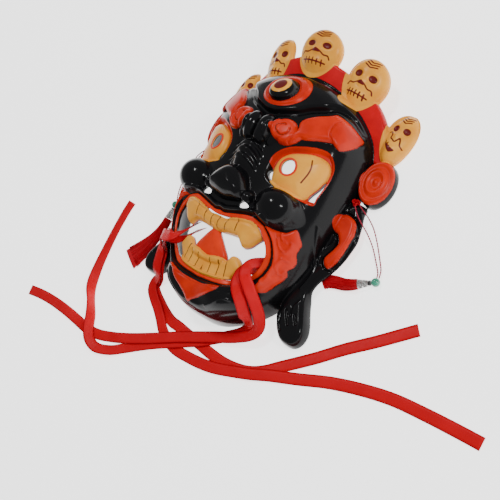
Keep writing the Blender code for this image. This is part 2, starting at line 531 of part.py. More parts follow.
def make_tassel(side, plan):
    for letter, points in zip("ab", plan["strands"]):
        make_strand(f"cord_{side}_{letter}", points, cord_red)
    along = Vector(plan["toward cap"]).normalized()
    middle = Vector(to_metres(plan["bead"]))

    bm = bmesh.new()
    bmesh.ops.create_uvsphere(bm, u_segments=14, v_segments=9, radius=BEAD / 2)
    add_primitive(f"bead_{side}", bm, middle, along, green)

    reach = BEAD / 2 + GAP
    bm = bmesh.new()
    bmesh.ops.create_cone(bm, cap_ends=True, segments=14, radius1=SPACER / 2, radius2=SPACER / 2, depth=SPACER_THICK)
    add_primitive(f"spacer_{side}", bm, middle + along * (reach + SPACER_THICK / 2), along, dark)

    reach += SPACER_THICK + GAP
    bm = bmesh.new()
    bmesh.ops.create_cone(bm, cap_ends=True, segments=16, radius1=SPACER / 2, radius2=CAP / 2, depth=CAP_LENGTH)
    add_primitive(f"cap_{side}", bm, middle + along * (reach + CAP_LENGTH / 2), along, silver)

    make_silk(f"tassel_{side}", plan["silk"], silk_red)


for old in list(bpy.data.objects):
    bpy.data.objects.remove(old, do_unlink=True)
pieces = bpy.data.collections.new("tibetan_opera_mask")
bpy.context.scene.collection.children.link(pieces)
make_mask()

satin = material("red satin", (0.62, 0.01, 0.02), 0.45)
cord_red = material("crimson cord", (0.42, 0.02, 0.06), 0.7)
silk_red = material("red silk", (0.55, 0.01, 0.03), 0.5)
green = material("green bead", (0.01, 0.22, 0.11), 0.2)
dark = material("dark spacer", (0.02, 0.02, 0.02), 0.3)
silver = material("silver cap", (0.7, 0.7, 0.7), 0.3, 1.0)
for ribbon_name, route in RIBBONS.items():
    make_ribbon(ribbon_name, route, satin)
for side_name, tassel_plan in TASSELS.items():
    make_tassel(side_name, tassel_plan)
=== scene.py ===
# %% [markdown]
# # A Tibetan opera mask that lies on its back rim
#
# The real mask is a gloss black moulding, about 264 mm tall, painted in vermilion, cream, scarlet and maroon.
# Satin ribbons come out of its mouth, and a silk tassel hangs from each ear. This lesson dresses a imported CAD
# model of it. The model is loaded first as a fixed frame, and every piece below goes where the frame says.

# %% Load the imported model
import math

import bmesh
import bpy
import numpy as np
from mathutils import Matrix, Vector


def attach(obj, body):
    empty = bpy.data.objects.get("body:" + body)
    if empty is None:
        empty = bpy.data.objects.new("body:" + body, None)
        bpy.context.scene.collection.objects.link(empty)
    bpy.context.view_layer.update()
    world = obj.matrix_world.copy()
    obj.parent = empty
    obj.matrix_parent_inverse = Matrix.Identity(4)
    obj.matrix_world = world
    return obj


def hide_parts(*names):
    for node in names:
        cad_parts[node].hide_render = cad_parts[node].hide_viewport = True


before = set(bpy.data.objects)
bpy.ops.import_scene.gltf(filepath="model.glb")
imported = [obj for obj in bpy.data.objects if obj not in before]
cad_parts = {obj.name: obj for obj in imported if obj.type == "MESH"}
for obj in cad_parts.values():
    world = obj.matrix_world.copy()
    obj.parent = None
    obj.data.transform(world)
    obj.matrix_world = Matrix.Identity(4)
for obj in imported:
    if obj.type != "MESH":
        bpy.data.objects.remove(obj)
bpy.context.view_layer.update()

# %% [markdown]
# ## The camera
#
# A camera has a place, three angles and a lens. These were found from points that the left and right halves of
# the face share, so the render has the photograph's viewing angle. The camera looks down on the mask from beside
# its right cheek. It is made by hand here, since a render's size isn't known to the script.

# %% Place the camera
CAMERA_PLACE = (0.40016, -0.11635, 0.53844)
CAMERA_ANGLES = (23.069, 29.416, 32.988)
LENS = 55.62
bpy.ops.object.camera_add(location=CAMERA_PLACE, rotation=[math.radians(angle) for angle in CAMERA_ANGLES])
camera = bpy.context.object
camera.name = "camera"
camera.data.lens = LENS
bpy.context.scene.camera = camera

# %% [markdown]
# ## Helpers for operators
#
# An operator acts on everything that is selected, so each step starts with nothing selected and then picks its
# own object. `keep_modifiers` turns live modifiers into plain mesh.

# %% Selection helpers
def only(piece):
    """Select one object and make it the active one."""
    bpy.ops.object.select_all(action="DESELECT")
    piece.select_set(True)
    bpy.context.view_layer.objects.active = piece
    return piece


def keep_modifiers(piece):
    only(piece)
    for modifier in list(piece.modifiers):
        bpy.ops.object.modifier_apply(modifier=modifier.name)
    return piece


def keep_place(piece):
    """Move an object's place and turn into its mesh, so that the object sits at the origin."""
    only(piece)
    bpy.ops.object.transform_apply(location=True, rotation=True, scale=True)
    return piece


def from_lists(name, points, faces):
    """A mesh object from points and faces that a loop made."""
    mesh = bpy.data.meshes.new(name)
    mesh.from_pydata([tuple(point) for point in points], [], faces)
    piece = bpy.data.objects.new(name, mesh)
    bpy.context.scene.collection.objects.link(piece)
    return only(piece)


def outwards(piece):
    only(piece)
    bpy.ops.object.mode_set(mode="EDIT")
    bpy.ops.mesh.select_all(action="SELECT")
    bpy.ops.mesh.normals_make_consistent(inside=False)
    bpy.ops.object.mode_set(mode="OBJECT")
    return piece


def dress(piece, material, slot, *nodes):
    """Give a piece its material, hang it on the root empty, and hide the CAD parts that it stands in for."""
    piece.data.materials.clear()
    piece.data.materials.append(material)
    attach(piece, "root")
    if nodes:
        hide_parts(*nodes)

# %% [markdown]
# ## Shader maths written as Python
#
# A material is a net of nodes. Wiring Math nodes by hand is slow to read, so one small class wraps a socket and
# lets Python's own signs build the nodes: `1 - mask` adds a Math node that subtracts.

# %% A socket with Python's signs
class Socket:
    def __init__(self, recipe, socket):
        self.recipe, self.socket = recipe, socket

    def __add__(self, other):
        return self.recipe.maths("ADD", self, other)

    def __radd__(self, other):
        return self.recipe.maths("ADD", other, self)

    def __sub__(self, other):
        return self.recipe.maths("SUBTRACT", self, other)

    def __rsub__(self, other):
        return self.recipe.maths("SUBTRACT", other, self)

    def __mul__(self, other):
        return self.recipe.maths("MULTIPLY", self, other)

    def __rmul__(self, other):
        return self.recipe.maths("MULTIPLY", other, self)

    def step(self, low, high):
        """0 below low, 1 above high, and straight between them."""
        return self.recipe.maths("MULTIPLY", self - low, 1.0 / (high - low), use_clamp=True)


class Recipe:
    """One material and the nodes that its finish is made of."""

    def __init__(self, name, roughness=0.5, metallic=0.0):
        self.material = bpy.data.materials.new(name)
        self.material.use_nodes = True
        self.tree = self.material.node_tree
        self.shader = self.tree.nodes["Principled BSDF"]
        self.set(**{"Roughness": roughness, "Metallic": metallic})

    def set(self, **inputs):
        for name, value in inputs.items():
            self.give(self.shader.inputs[name.replace("_", " ")], value)

    def give(self, socket, value):
        if isinstance(value, Socket):
            self.tree.links.new(value.socket, socket)
        elif isinstance(value, tuple) and len(value) == 3 and socket.type == "RGBA":
            socket.default_value = (*value, 1.0)
        else:
            socket.default_value = value

    def node(self, kind, out=0, settings=None, **inputs):
        made = self.tree.nodes.new("ShaderNode" + kind)
        for name, value in (settings or {}).items():
            setattr(made, name, value)
        for name, value in inputs.items():
            key = int(name[1:]) if name[0] == "i" and name[1:].isdigit() else name.replace("_", " ")
            self.give(made.inputs[key], value)
        return Socket(self, made.outputs[out])

    def maths(self, operation, a, b=0.0, use_clamp=False):
        return self.node("Math", settings={"operation": operation, "use_clamp": use_clamp}, i0=a, i1=b)

    def mix(self, factor, a, b):
        return self.node("Mix", out=2, settings={"data_type": "RGBA"}, i0=factor, i6=a, i7=b)

    def attribute(self, name):
        return self.node("Attribute", out="Fac", settings={"attribute_name": name})

    def place(self):
        return self.node("TexCoord", out="Object")

    def noise(self, scale, detail=3.0, vector=None):
        return self.node("TexNoise", Scale=scale, Detail=detail, Vector=vector or self.place())

    def bump(self, height, distance, strength=1.0):
        self.set(Normal=self.node("Bump", Height=height, Distance=distance, Strength=strength))

# %% [markdown]
# ## Floor and light
#
# The photograph has a plain white ground with no shadow to speak of, and two small soft lamps that show twice
# on every black ball. The floor is a wide plane that glows a little, as a light table does, so the ground
# seen through the eyes and the mouth stays pale. The lamps stand where each black cheek mirrors them.

# %% Floor, world and lamps
bpy.ops.mesh.primitive_plane_add(size=12.0)
floor = bpy.context.object
floor.name = "floor"
ground = Recipe("pale floor", roughness=0.9)
ground.set(Base_Color=(0.9, 0.9, 0.9), Emission_Color=(1.0, 1.0, 1.0), Emission_Strength=1.9)
floor.data.materials.append(ground.material)

world = bpy.data.worlds.new("studio")
bpy.context.scene.world = world
world.use_nodes = True
world.node_tree.nodes["Background"].inputs["Color"].default_value = (1.0, 1.0, 1.0, 1.0)
world.node_tree.nodes["Background"].inputs["Strength"].default_value = 0.5

LAMPS = {  # place, size across and down, power
    "left lamp": ((-0.18, 0.42, 1.35), (0.16, 0.22), 8.0),
    "right lamp": ((1.15, 0.35, 0.95), (0.16, 0.22), 9.0),
}
AIM = Vector((0.0, 0.0, 0.04))
for name, (place, (across, down), power) in LAMPS.items():
    bpy.ops.object.light_add(type="AREA", location=place)
    lamp = bpy.context.object
    lamp.name = name
    lamp.data.shape = "RECTANGLE"
    lamp.data.size, lamp.data.size_y, lamp.data.energy = across, down, power
    lamp.rotation_euler = (Vector(place) - AIM).to_track_quat("Z", "Y").to_euler()

# %% [markdown]
# ## The drawing that the mask is carved from
#
# The moulding is worked out on a front drawing of the mask, in millimetres: x to the right, y from chin to crown,
# z out of the face. The right half is drawn and the left half mirrors it. The same outlines shape the CAD model.
# Each is a handful of points with a smooth curve through them.

# %% Sizes of the drawing
MASK_HEIGHT = 0.264          # chin to the top of the middle skull
WALL = 0.0024                # plastic of the shell
RIBBON_WIDTH = 0.010
RIBBON_THICK = 0.0005
CORD = 0.0013                # one strand of a tassel's cord
BEAD = 0.0072                # green bead, across
SPACER = 0.0044              # dark disc between bead and cap, across
SPACER_THICK = 0.0016
CAP = 0.0076                 # silver cap, across its mouth
CAP_LENGTH = 0.0086
TASSEL_WIDTH = 0.0086        # silk just below the cap
GAP = 0.0003                 # air between pieces that touch

# The drawing: its units, its middle and its outline
DRAWN_CHIN = -114.0
DRAWN_CROWN = 150.0
UNIT = MASK_HEIGHT / (DRAWN_CROWN - DRAWN_CHIN)
MIDDLE = (DRAWN_CROWN + DRAWN_CHIN) / 2
HALF_ACROSS = 105.0

# %% Outlines of the carved regions
# Outlines of the right half. One that starts and ends at x = 0 is mirrored into a closed shape.
FACE = [(0, -114), (14, -112.5), (28, -106.5), (46, -94), (60, -78), (68, -62), (74, -42), (77, -20), (79, 3), (79, 33),
        (78, 56), (72, 75), (60, 89), (43, 100), (23, 107), (0, 109)]
BAND = [(0, 96), (0, 127), (22, 124), (40, 119), (58, 111), (72, 98), (80, 82), (84, 64), (70, 64), (60, 76), (40, 90)]
EAR = [(88, 27), (91, 21), (94, 13), (96, 5), (97.5, -3), (96.5, -12), (95, -20), (92, -29), (88, -37), (84.5, -43),
       (82.5, -49), (81.5, -56), (83, -63), (87, -71), (91.5, -79), (94, -87), (93, -94.5), (89, -99.5), (83, -101),
       (75.5, -99.5), (69, -94), (64.5, -87.5), (61.5, -80.5), (62, -60), (64, -30), (68, 0), (72, 20), (80, 28)]
BEAN = [(76.5, -0.5), (75, 3.5), (75, 8.5), (76.5, 12.5), (79, 14.5), (82.5, 14.5), (88.5, 12.5), (92, 8.5),
        (94, 2), (94, -4), (93.5, -11), (92.5, -19), (91, -25), (89, -29.5), (86.5, -31.5), (82.5, -29.5),
        (80.5, -25), (82, -20.5), (84.5, -15), (85.5, -9.5), (83, -5), (80.5, -2.5), (78, -2)]
EYE_SOCKET = [(22.5, 23), (23, 27.5), (26.5, 33.5), (33, 39), (40, 42.5), (48, 46), (54.5, 48), (60.5, 48), (64.5, 44),
              (66.5, 38.5), (67, 30.5), (66.5, 21.5), (65.5, 12.5), (65, 5.5), (58, 4), (47, 4), (39, 4), (31, 6),
              (25, 9.5), (23, 15)]
EYEBALL = [(27, 21.5), (28.5, 28.5), (33.5, 34.5), (42, 39), (50, 42), (57.5, 42.5), (62, 40.5), (64, 36), (64.5, 31),
           (64, 26), (62, 19.5), (58.5, 9), (55, 5), (47, 4), (39, 4), (31, 7), (29, 10), (27.5, 15)]
OUTER_GAP = [(58.5, 8.5), (61, 8), (63.5, 9), (64, 13.5), (65, 26), (64, 26.5), (62, 19.5)]
INNER_GAP = [(24.5, 12.5), (28, 9.5), (29.5, 10.5), (27, 17.5), (24.5, 16)]
BROW = [(33, 53.5), (31.5, 60), (33.5, 65), (38.5, 70.5), (46.5, 77), (49.5, 80.5), (55, 80), (60.5, 78), (65, 75.5),
        (68.5, 73), (69.5, 69), (68.5, 61), (65, 54), (61.5, 54.5), (58.5, 56), (52.5, 53.5), (43, 49), (39, 47.5),
        (36, 43), (30, 38.5), (22.5, 38.5), (24, 46), (30, 50)]
LIPS = [(0, -29.5), (5.5, -30), (15.5, -27.5), (25, -25), (31, -24), (36.5, -25), (41.5, -26.5), (46, -30), (50.5, -35),
        (53.5, -43), (54, -50.5), (52, -58), (49, -64), (43, -71), (37, -76), (28.5, -81), (17.5, -83.5), (5, -84.5),
        (0, -85)]
MOUTH = [(0, -33), (15, -31), (25, -28.5), (33, -27.5), (39.5, -29.5), (44, -34), (48.5, -40), (50.5, -46), (50, -53),
         (48, -59.5), (44, -66), (38, -71), (32, -75.5), (22, -79), (12, -80.5), (0, -81.5)]
UPPER_TEETH = [(0, -33.5), (8.5, -33.5), (15, -31.5), (22, -29.5), (29, -28), (34.5, -28), (39, -30), (42, -33.5),
               (42.5, -36), (39.5, -40), (35.5, -45.5), (30.5, -48.5), (28, -47), (24.5, -43.5), (21, -43), (14, -43.5),
               (6, -44.5), (0, -44.5)]
LOWER_TEETH = [(0, -66), (9.5, -64), (16, -63), (18.5, -63.5), (20.5, -61.5), (22.5, -58.5), (25, -57), (28.5, -57.5),
               (32.5, -61.5), (35.5, -66), (32.5, -71), (27.5, -76), (21.5, -79), (12.5, -81), (0, -82)]
TONGUE = [(0, -41), (2.5, -43), (5.5, -46.5), (11.5, -53.5), (17.5, -62), (14, -69), (0, -71)]
GOATEE = [(0, -89), (13, -88.5), (22, -86), (28, -85), (20, -93.5), (12, -99), (5, -103.5), (0, -107)]
FLAMES = [(42.5, -26.5), (48, -26), (54, -25), (58.5, -23.5), (61, -20.5), (63.5, -17.5), (66, -21), (68, -26),
          (67.5, -30), (67, -34), (68, -39.5), (67, -44), (65, -48), (65, -52), (63, -57.5), (60, -63), (57, -68.5),
          (54, -72.5), (49, -75.5), (44, -77.5), (49, -71.5), (52.5, -65), (55.5, -58), (57.5, -50.5), (57, -43),
          (54.5, -36.5), (50.5, -31.5), (46, -28)]
NOSE = [(0, 11), (9, 8), (17, -1.5), (20, -10.5), (16, -17.5), (8, -20), (0, -21)]
CREASE = [(0, 60), (5.5, 60.5), (17.5, 65), (24.5, 68.5), (30, 73.5), (39, 79.5), (46.5, 85.5), (56, 85), (66, 79)]

# Ovals: middle, then half width and half height
EAR_DISC = ((89, 48), (13.5, 20))
PUPIL = ((39.7, 23.5), (5.4, 6.3))
CHEEK = ((43.5, -9.5), (17.5, 16))
NOSE_WING = ((20.5, -12), (7, 7.5))
NOSTRIL = ((20.5, -19), (4.8, 2.8))
THIRD_EYE = ((0, 85), (21.5, 18))
BUTTON = ((0, 83), (12, 12))
BROW_CURL = ((23, 49.5), (10.3, 10.3))
CHIN_PAD = ((28, -93), (22, 13))
FOLDS = (((6.5, 45), (7.5, 14), 11.0), ((15, 45), (5.5, 12), 4.0))
SKULLS = (  # middle, half sizes, lean in degrees, height of its base and that base's slopes along x and y
    ((0, 129), (20, 21), 0.0, 39.5, (0.0, 0.27)),
    ((46, 117.5), (16, 24), -6.0, 24.5, (-0.3, 0.17)),
    ((86, 89.6), (12, 24), -2.0, 2.0, (-0.15, -0.15)),
)

# Height of the face along the middle line, without its features, as y and z
MIDLINE = [(-122, 36), (-110, 39), (-100, 42), (-90, 44), (-80, 45), (-70, 46), (-60, 50), (-45, 56), (-30, 60),
           (-15, 62), (0, 62), (30, 63), (50, 64), (65, 61), (80, 55), (95, 49), (105, 45), (115, 42), (125, 40)]
SIDE_FALL = 26.0             # how much lower the face is 70 units from the middle line
EDGE_ROLL = 18.0             # breadth of the round edge of the face
SKULL_RISE = 10.0
EAR_TOP = 12.0
EAR_LIFT = 6.5               # the ear stands this far over the table between its disc and its lobe
THINNEST = 1.2               # edges are at least this thick

# %% [markdown]
# ## Measuring on the drawing
#
# Carving and paint both come from one question: how far inside an outline is a point? `line_distance` answers
# it for any smooth line, and small profile functions turn the answer into a ridge, a roll or a step.

# %% Curves and distances
def smooth_step(t):
    t = np.clip(t, 0.0, 1.0)
    return t * t * (3.0 - 2.0 * t)


def smooth_max(a, b, blend):
    mix = np.clip(0.5 + 0.5 * (a - b) / blend, 0.0, 1.0)
    return b + (a - b) * mix + blend * mix * (1.0 - mix)


def ridge(distance, width):
    """1 on a line and 0 from half the width away."""
    return smooth_step(1.0 - np.abs(distance) * 2.0 / width)


def pillow(inside, roll):
    """0 on an outline, rising as a quarter round to 1 at the roll's breadth inside it."""
    t = np.clip(inside / roll, 0.0, 1.0)
    return np.sqrt(t * (2.0 - t))


def smooth_line(points, closed, steps=7):
    """A Catmull-Rom curve through the points."""
    p = np.array(points, float)
    count = len(p)
    out = []
    for i in range(count if closed else count - 1):
        b, c = p[i], p[(i + 1) % count]
        a = p[i - 1] if closed or i else 2 * b - c
        d = p[(i + 2) % count] if closed or i + 2 < count else 2 * c - b
        for k in range(steps):
            t = k / steps
            out.append(0.5 * (2 * b + (c - a) * t + (2 * a - 5 * b + 4 * c - d) * t * t
                              + (3 * b - a - 3 * c + d) * t ** 3))
    if not closed:
        out.append(p[-1])
    return np.array(out)


def line_distance(u, y, line, closed):
    """Distance to a polyline; for a closed one it is negative outside."""
    best = np.full(u.shape, 1e9)
    inside = np.zeros(u.shape, bool)
    ends = np.roll(line, -1, axis=0) if closed else line[1:]
    for (ax, ay), (bx, by) in zip(line, ends):
        dx, dy = bx - ax, by - ay
        px, py = u - ax, y - ay
        t = np.clip((px * dx + py * dy) / max(dx * dx + dy * dy, 1e-9), 0.0, 1.0)
        best = np.minimum(best, np.hypot(px - t * dx, py - t * dy))
        if closed and ay != by:
            inside ^= ((ay > y) != (by > y)) & (u < ax + dx * (y - ay) / dy)
    return np.where(inside, best, -best) if closed else best


def shape(u, y, points):
    """How far inside an outline a point lies."""
    if points[0][0] == 0 and points[-1][0] == 0:
        points = points + [(-px, py) for px, py in reversed(points) if px > 0]
    return line_distance(u, y, smooth_line(points, True), True)


def oval(u, y, centre, radii):
    """About how far inside an ellipse a point lies."""
    a, b = (u - centre[0]) / radii[0], (y - centre[1]) / radii[1]
    r = np.hypot(a, b)
    g = np.hypot(a / radii[0], b / radii[1])
    return np.where(g > 1e-9, r * (1.0 - r) / np.maximum(g, 1e-9), min(radii))


def rings(u, y, centre, radii):
    """0 in the middle of an ellipse and 1 on it."""
    return np.hypot((u - centre[0]) / radii[0], (y - centre[1]) / radii[1])


def half_ball(q):
    return np.sqrt(np.clip(1.0 - q * q, 0.0, 1.0))

# %% Regions of the mask
def rim_height(x, y):
    """How high the back rim stands over the table: an arch round the crown, and a lift under each ear."""
    u = np.abs(x)
    arch = np.clip(1.0 - (u / 86.0) ** 1.8, 0.0, 1.0)
    crown = arch * (33.0 * smooth_step((y - 35.0) / 65.0) + 0.26 * np.clip(y - 105.0, 0.0, None))
    ear = EAR_LIFT * smooth_step((u - 76.0) / 5.0) * smooth_step((30.0 - y) / 14.0) * smooth_step((y + 64.0) / 14.0)
    return crown + ear


def on_skull(u, y, skull):
    """Where a point is on a skull, as shares of its half width and half height, and how far inside its edge."""
    centre, (half, tall), lean = skull[:3]
    c, s = math.cos(math.radians(lean)), math.sin(math.radians(lean))
    dx, dy = u - centre[0], y - centre[1]
    a, b = (dx * c + dy * s) / half, (dy * c - dx * s) / tall
    narrow = 1.0 + 0.16 * np.clip(b, -1.2, 1.0) - 0.06 * np.clip(b, 0.0, 1.0) ** 2
    r = np.hypot(a / narrow, b)
    g = np.hypot(a / narrow / half, b / tall)
    return a, b, np.where(g > 1e-9, r * (1.0 - r) / np.maximum(g, 1e-9), min(half, tall))


def regions(x, y):
    """How far inside each carved region a point lies."""
    u = np.abs(x)
    inside = {name: shape(u, y, points) for name, points in {
        "face": FACE, "band": BAND, "ear": EAR, "bean": BEAN, "socket": EYE_SOCKET, "eyeball": EYEBALL,
        "outer gap": OUTER_GAP, "inner gap": INNER_GAP, "brow": BROW, "lips": LIPS, "mouth": MOUTH,
        "upper teeth": UPPER_TEETH, "lower teeth": LOWER_TEETH, "tongue": TONGUE, "goatee": GOATEE,
        "flames": FLAMES, "nose": NOSE}.items()}
    for name, (centre, radii) in {"disc": EAR_DISC, "pupil": PUPIL, "nostril": NOSTRIL, "third eye": THIRD_EYE,
                                  "curl": BROW_CURL}.items():
        inside[name] = oval(u, y, centre, radii)
    inside["brow"] = np.maximum(inside["brow"], inside["curl"])
    inside["skull"] = np.maximum.reduce([on_skull(u, y, skull)[2] for skull in SKULLS])
    outline = np.maximum.reduce([inside[name] for name in ("face", "band", "ear", "disc", "skull")])
    biting = np.maximum.reduce([inside[name] for name in ("upper teeth", "lower teeth", "tongue")])
    holes = np.maximum.reduce([inside["pupil"], inside["outer gap"], inside["inner gap"], inside["nostril"],
                               np.minimum(inside["mouth"], -biting)])
    inside["outline"] = outline
    inside["plastic"] = np.minimum(outline, -holes)
    return inside

# %% [markdown]
# ## Fine lines
#
# The mould has finer lines than the CAD model keeps: the coil of each brow curl, curls in the flames at the
# cheeks, the gaps between the teeth and the folds of the ear lobes. Each is a short line with a width and a
# height, which is negative for a groove. Lines that carry no relief are only painted.

# %% Lines carved and painted
def coil_line(centre, radii, start, sweep, shrink):
    """Points of a coil that winds in from an ellipse, by angles in degrees."""
    count = 18
    line = []
    for k in range(count + 1):
        turn = math.radians(start + sweep * k / count)
        share = 1.0 - shrink * k / count
        line.append((centre[0] + radii[0] * share * math.cos(turn), centre[1] + radii[1] * share * math.sin(turn)))
    return line


CURL_LINE = coil_line((23, 49.5), (6.2, 6.2), 20, -300, 0.35)
BROW_SEAMS = [[(31.5, 40.5), (33, 46), (33.5, 51.5)], [(58.5, 57.5), (55, 63), (54, 71), (55, 75)]]
TOOTH_GAPS = [[(4, -34.5), (3.5, -43)], [(12.5, -33.5), (11.5, -42)], [(22.5, -30.5), (22, -40)],
              [(-2, -67), (0.5, -79)], [(6.5, -67.5), (7.5, -79)], [(15, -66), (16, -78)], [(21, -63), (23, -76)]]
EYE_ARC = [(53, 36.5), (54.8, 31.5), (54.8, 25.5), (53, 16.5)]
FLAME_CURLS = [[(56, -30.5), (59, -36), (62.5, -37.5), (64.5, -32), (64.5, -28.5)],
               [(57, -25), (59, -29.5), (61.5, -30)],
               [(65, -42.5), (62, -43), (60, -49), (60.5, -53), (62.5, -54), (65, -49)],
               [(57, -60), (55, -65), (52.5, -66), (53, -62)]]
CARVED_LINES = (  # lines, width, height
    ([CURL_LINE], 2.2, -1.6),
    (BROW_SEAMS, 2.4, -1.5),
    (TOOTH_GAPS, 1.6, -0.9),
    (FLAME_CURLS, 2.6, 1.3),
    ([[(82, -9.5), (80, -14.5), (77, -19.5), (76.5, -25.5), (78, -31)]], 3.4, 2.0),
    ([[(71.5, -7), (74, -24.5), (76.5, -39), (75.5, -48), (73.5, -55)]], 2.6, 1.2),
    ([[(77, -63.5), (74, -70), (76.5, -78)], [(70.5, -75), (74, -80), (78, -85.5)], [(79.5, -76), (84.5, -82.5)],
      [(68, -80), (70, -87), (74, -92)]], 2.6, -1.5),
    ([[(18, -104), (25, -99.5), (31, -93), (37, -90.5)]], 2.2, 0.9),
)

SKULL_WRINKLES = [[(-0.34, h), (-0.16, h - 0.05), (0.0, h - 0.09), (0.16, h - 0.05), (0.34, h)]
                  for h in (0.66, 0.76, 0.86)]
INNER_SKULL = {
    "eyes": ((0.4, 0.26), (0.21, 0.125)),
    "thin": SKULL_WRINKLES + [
        [(-0.68, -0.22), (-0.6, -0.12), (-0.4, -0.12), (-0.2, -0.03), (0.0, 0.02), (0.2, -0.03), (0.4, -0.12),
         (0.6, -0.12), (0.68, -0.22)],
        [(-0.55, -0.42), (0.0, -0.44), (0.55, -0.42)]]
    + [[(a, -0.33), (a, -0.53)] for a in (-0.4, -0.2, 0.0, 0.2, 0.4)],
    "thick": [(-0.18, -0.06), (0.0, 0.06), (0.18, -0.06), (0.0, -0.09)],
}
OUTER_SKULL = {
    "eyes": ((0.4, 0.3), (0.24, 0.12)),
    "thin": SKULL_WRINKLES + [
        [(-0.62, 0.08), (-0.5, 0.12), (-0.32, 0.02), (-0.3, -0.1), (-0.1, -0.16), (0.08, -0.2), (0.2, -0.1),
         (0.3, -0.02), (0.42, -0.14), (0.5, -0.26), (0.7, -0.34)]],
    "thick": [(-0.55, -0.2), (-0.48, -0.36), (-0.28, -0.46), (-0.1, -0.56), (0.12, -0.62), (0.38, -0.5),
              (0.08, -0.45), (0.0, -0.4), (-0.14, -0.4), (-0.2, -0.28), (-0.34, -0.34)],
}


def lines_apart(u, y, lines, reach):
    """Distance to the nearest of some lines, worked out only near them."""
    best = np.full(u.shape, float(reach))
    for points in lines:
        line = smooth_line(points, False)
        low, high = line.min(axis=0) - reach, line.max(axis=0) + reach
        near = (u > low[0]) & (u < high[0]) & (y > low[1]) & (y < high[1])
        if near.any():
            best[near] = np.minimum(best[near], line_distance(u[near], y[near], line, False))
    return best

# %% [markdown]
# ## Height of the carved front
#
# The face starts as a plain arch with a rounded edge. Every feature then adds its own roll, ridge or ball on
# top, in the order in which a carver would work: forehead, brows, eyes, cheeks, nose, mouth, beard. Balls that
# swell out of the face are blended in with `smooth_max`, which is a rounded version of taking the higher one.

# %% Heights
def face_height(u, y, inside):
    """Front of the face over the table."""
    rim = rim_height(u * 0.0 + np.minimum(u, 76.0), y)
    middle = smooth_line(MIDLINE, False)
    bare = np.interp(y, middle[:, 0], middle[:, 1]) - SIDE_FALL * (u / 70.0) ** 2.6
    roll = EDGE_ROLL * (1.0 - 0.5 * smooth_step((-80.0 - y) / 25.0))
    z = rim + np.maximum(bare - rim, 8.0) * pillow(inside["face"], roll)
    # forehead bulging over its crease, with the third eye
    over = shape(u, y, CREASE + [(75, 85), (60, 125), (0, 125)])
    crease = line_distance(u, y, smooth_line(CREASE, False), False)
    z += (4.0 * smooth_step(over / 5.0) - 2.0 * ridge(crease, 7.0)) * smooth_step(inside["face"] / 6.0)
    z += 2.5 * smooth_step(inside["third eye"] / 3.0)
    q = rings(u, y, *BUTTON)
    z += 9.0 * np.sqrt(np.clip(1.0 - q ** 2.6, 0.0, 1.0)) - 1.5 * ridge((q - 1.08) * BUTTON[1][0], 3.0)
    # folds between the brows, then the brows
    for centre, radii, lift in FOLDS:
        z += lift * half_ball(rings(u, y, centre, radii))
    z += 5.5 * pillow(inside["brow"], 4.0)
    # eyeball in its socket
    z += 8.0 * pillow(inside["eyeball"], 14.0) - 5.0 * smooth_step(inside["socket"] / 3.0)
    # cheek, nose bridge, nose and its wings
    q = rings(u, y, *CHEEK)
    z = smooth_max(z, 52.0 + 17.0 * half_ball(q) - 60.0 * np.clip(q - 1.0, 0.0, 1.0), 3.0)
    z += 8.0 * smooth_step(1.15 - rings(u, y, (0, 19), (13, 22)))
    z = smooth_max(z, 55.0 + 24.0 * pillow(inside["nose"], 15.0) - 15.0 * np.clip(-inside["nose"], 0.0, 4.0), 2.0)
    q = rings(u, y, *NOSE_WING)
    z = smooth_max(z, 53.0 + 15.0 * half_ball(q) - 60.0 * np.clip(q - 1.0, 0.0, 1.0), 2.0)
    # mouth
    z += 3.0 * ridge(inside["lips"] + 3.5, 6.0) - 1.5 * ridge(inside["lips"] + 0.6, 2.4)
    z -= 6.0 * smooth_step(inside["mouth"] / 3.0)
    z += 8.0 * pillow(inside["upper teeth"], 5.0) + 6.0 * pillow(inside["lower teeth"], 5.0)
    z += 5.0 * pillow(inside["tongue"], 8.0)
    # chin and beard
    z += 5.0 * smooth_step(1.2 - rings(u, y, *CHIN_PAD))
    z += 3.0 * pillow(inside["goatee"], 3.0) + 2.5 * pillow(inside["flames"], 3.0)
    return z


def front_height(x, y, inside):
    """Front of the whole mask over the table."""
    u = np.abs(x)
    rim = rim_height(x, y)
    front = rim + THINNEST

    def add(region, height):
        return np.where(inside[region] > 0, np.maximum(front, height), front)

    front = add("face", face_height(u, y, inside))
    coil = np.cos(rings(u, y, *EAR_DISC) * math.tau * 2.2)
    front = add("disc", 8.0 * pillow(inside["disc"], 5.0) + 0.3 * (104.0 - u) + coil)
    bean = 2.5 * pillow(inside["bean"], 3.0) - 2.0 * ridge(inside["bean"] + 1.2, 2.5)
    front = add("ear", np.maximum(rim, 0.4 * EAR_TOP * pillow(inside["ear"], 3.0))
                + (EAR_TOP - np.maximum(rim, 0.4 * EAR_TOP)) * pillow(inside["ear"], 7.0) + bean)
    front = add("band", rim + 6.0 * pillow(inside["band"], 3.0))
    for skull in SKULLS:
        a, b, edge = on_skull(u, y, skull)
        centre, radii, _, base, slope = skull
        rise = SKULL_RISE * pillow(edge, 0.95 * min(radii))
        for eye in (-0.4, 0.4):
            rise -= 2.0 * smooth_step(1.25 - rings(a, b, (eye, 0.26), (0.26, 0.17)))
        rise += 1.8 * smooth_step(1.0 - rings(a, b, (0, 0.02), (0.25, 0.25)))
        rise += 1.6 * smooth_step(1.0 - rings(a, b, (0, -0.42), (0.62, 0.28)))
        lean = base + slope[0] * (u - centre[0]) + slope[1] * (y - centre[1])
        front = np.where(edge > 0, np.maximum(front, lean + rise), front)
    return front


def to_metres(points):
    """Drawing units to metres, with the origin under the middle of the mask."""
    return (np.asarray(points, float) - (0.0, MIDDLE, 0.0)) * UNIT


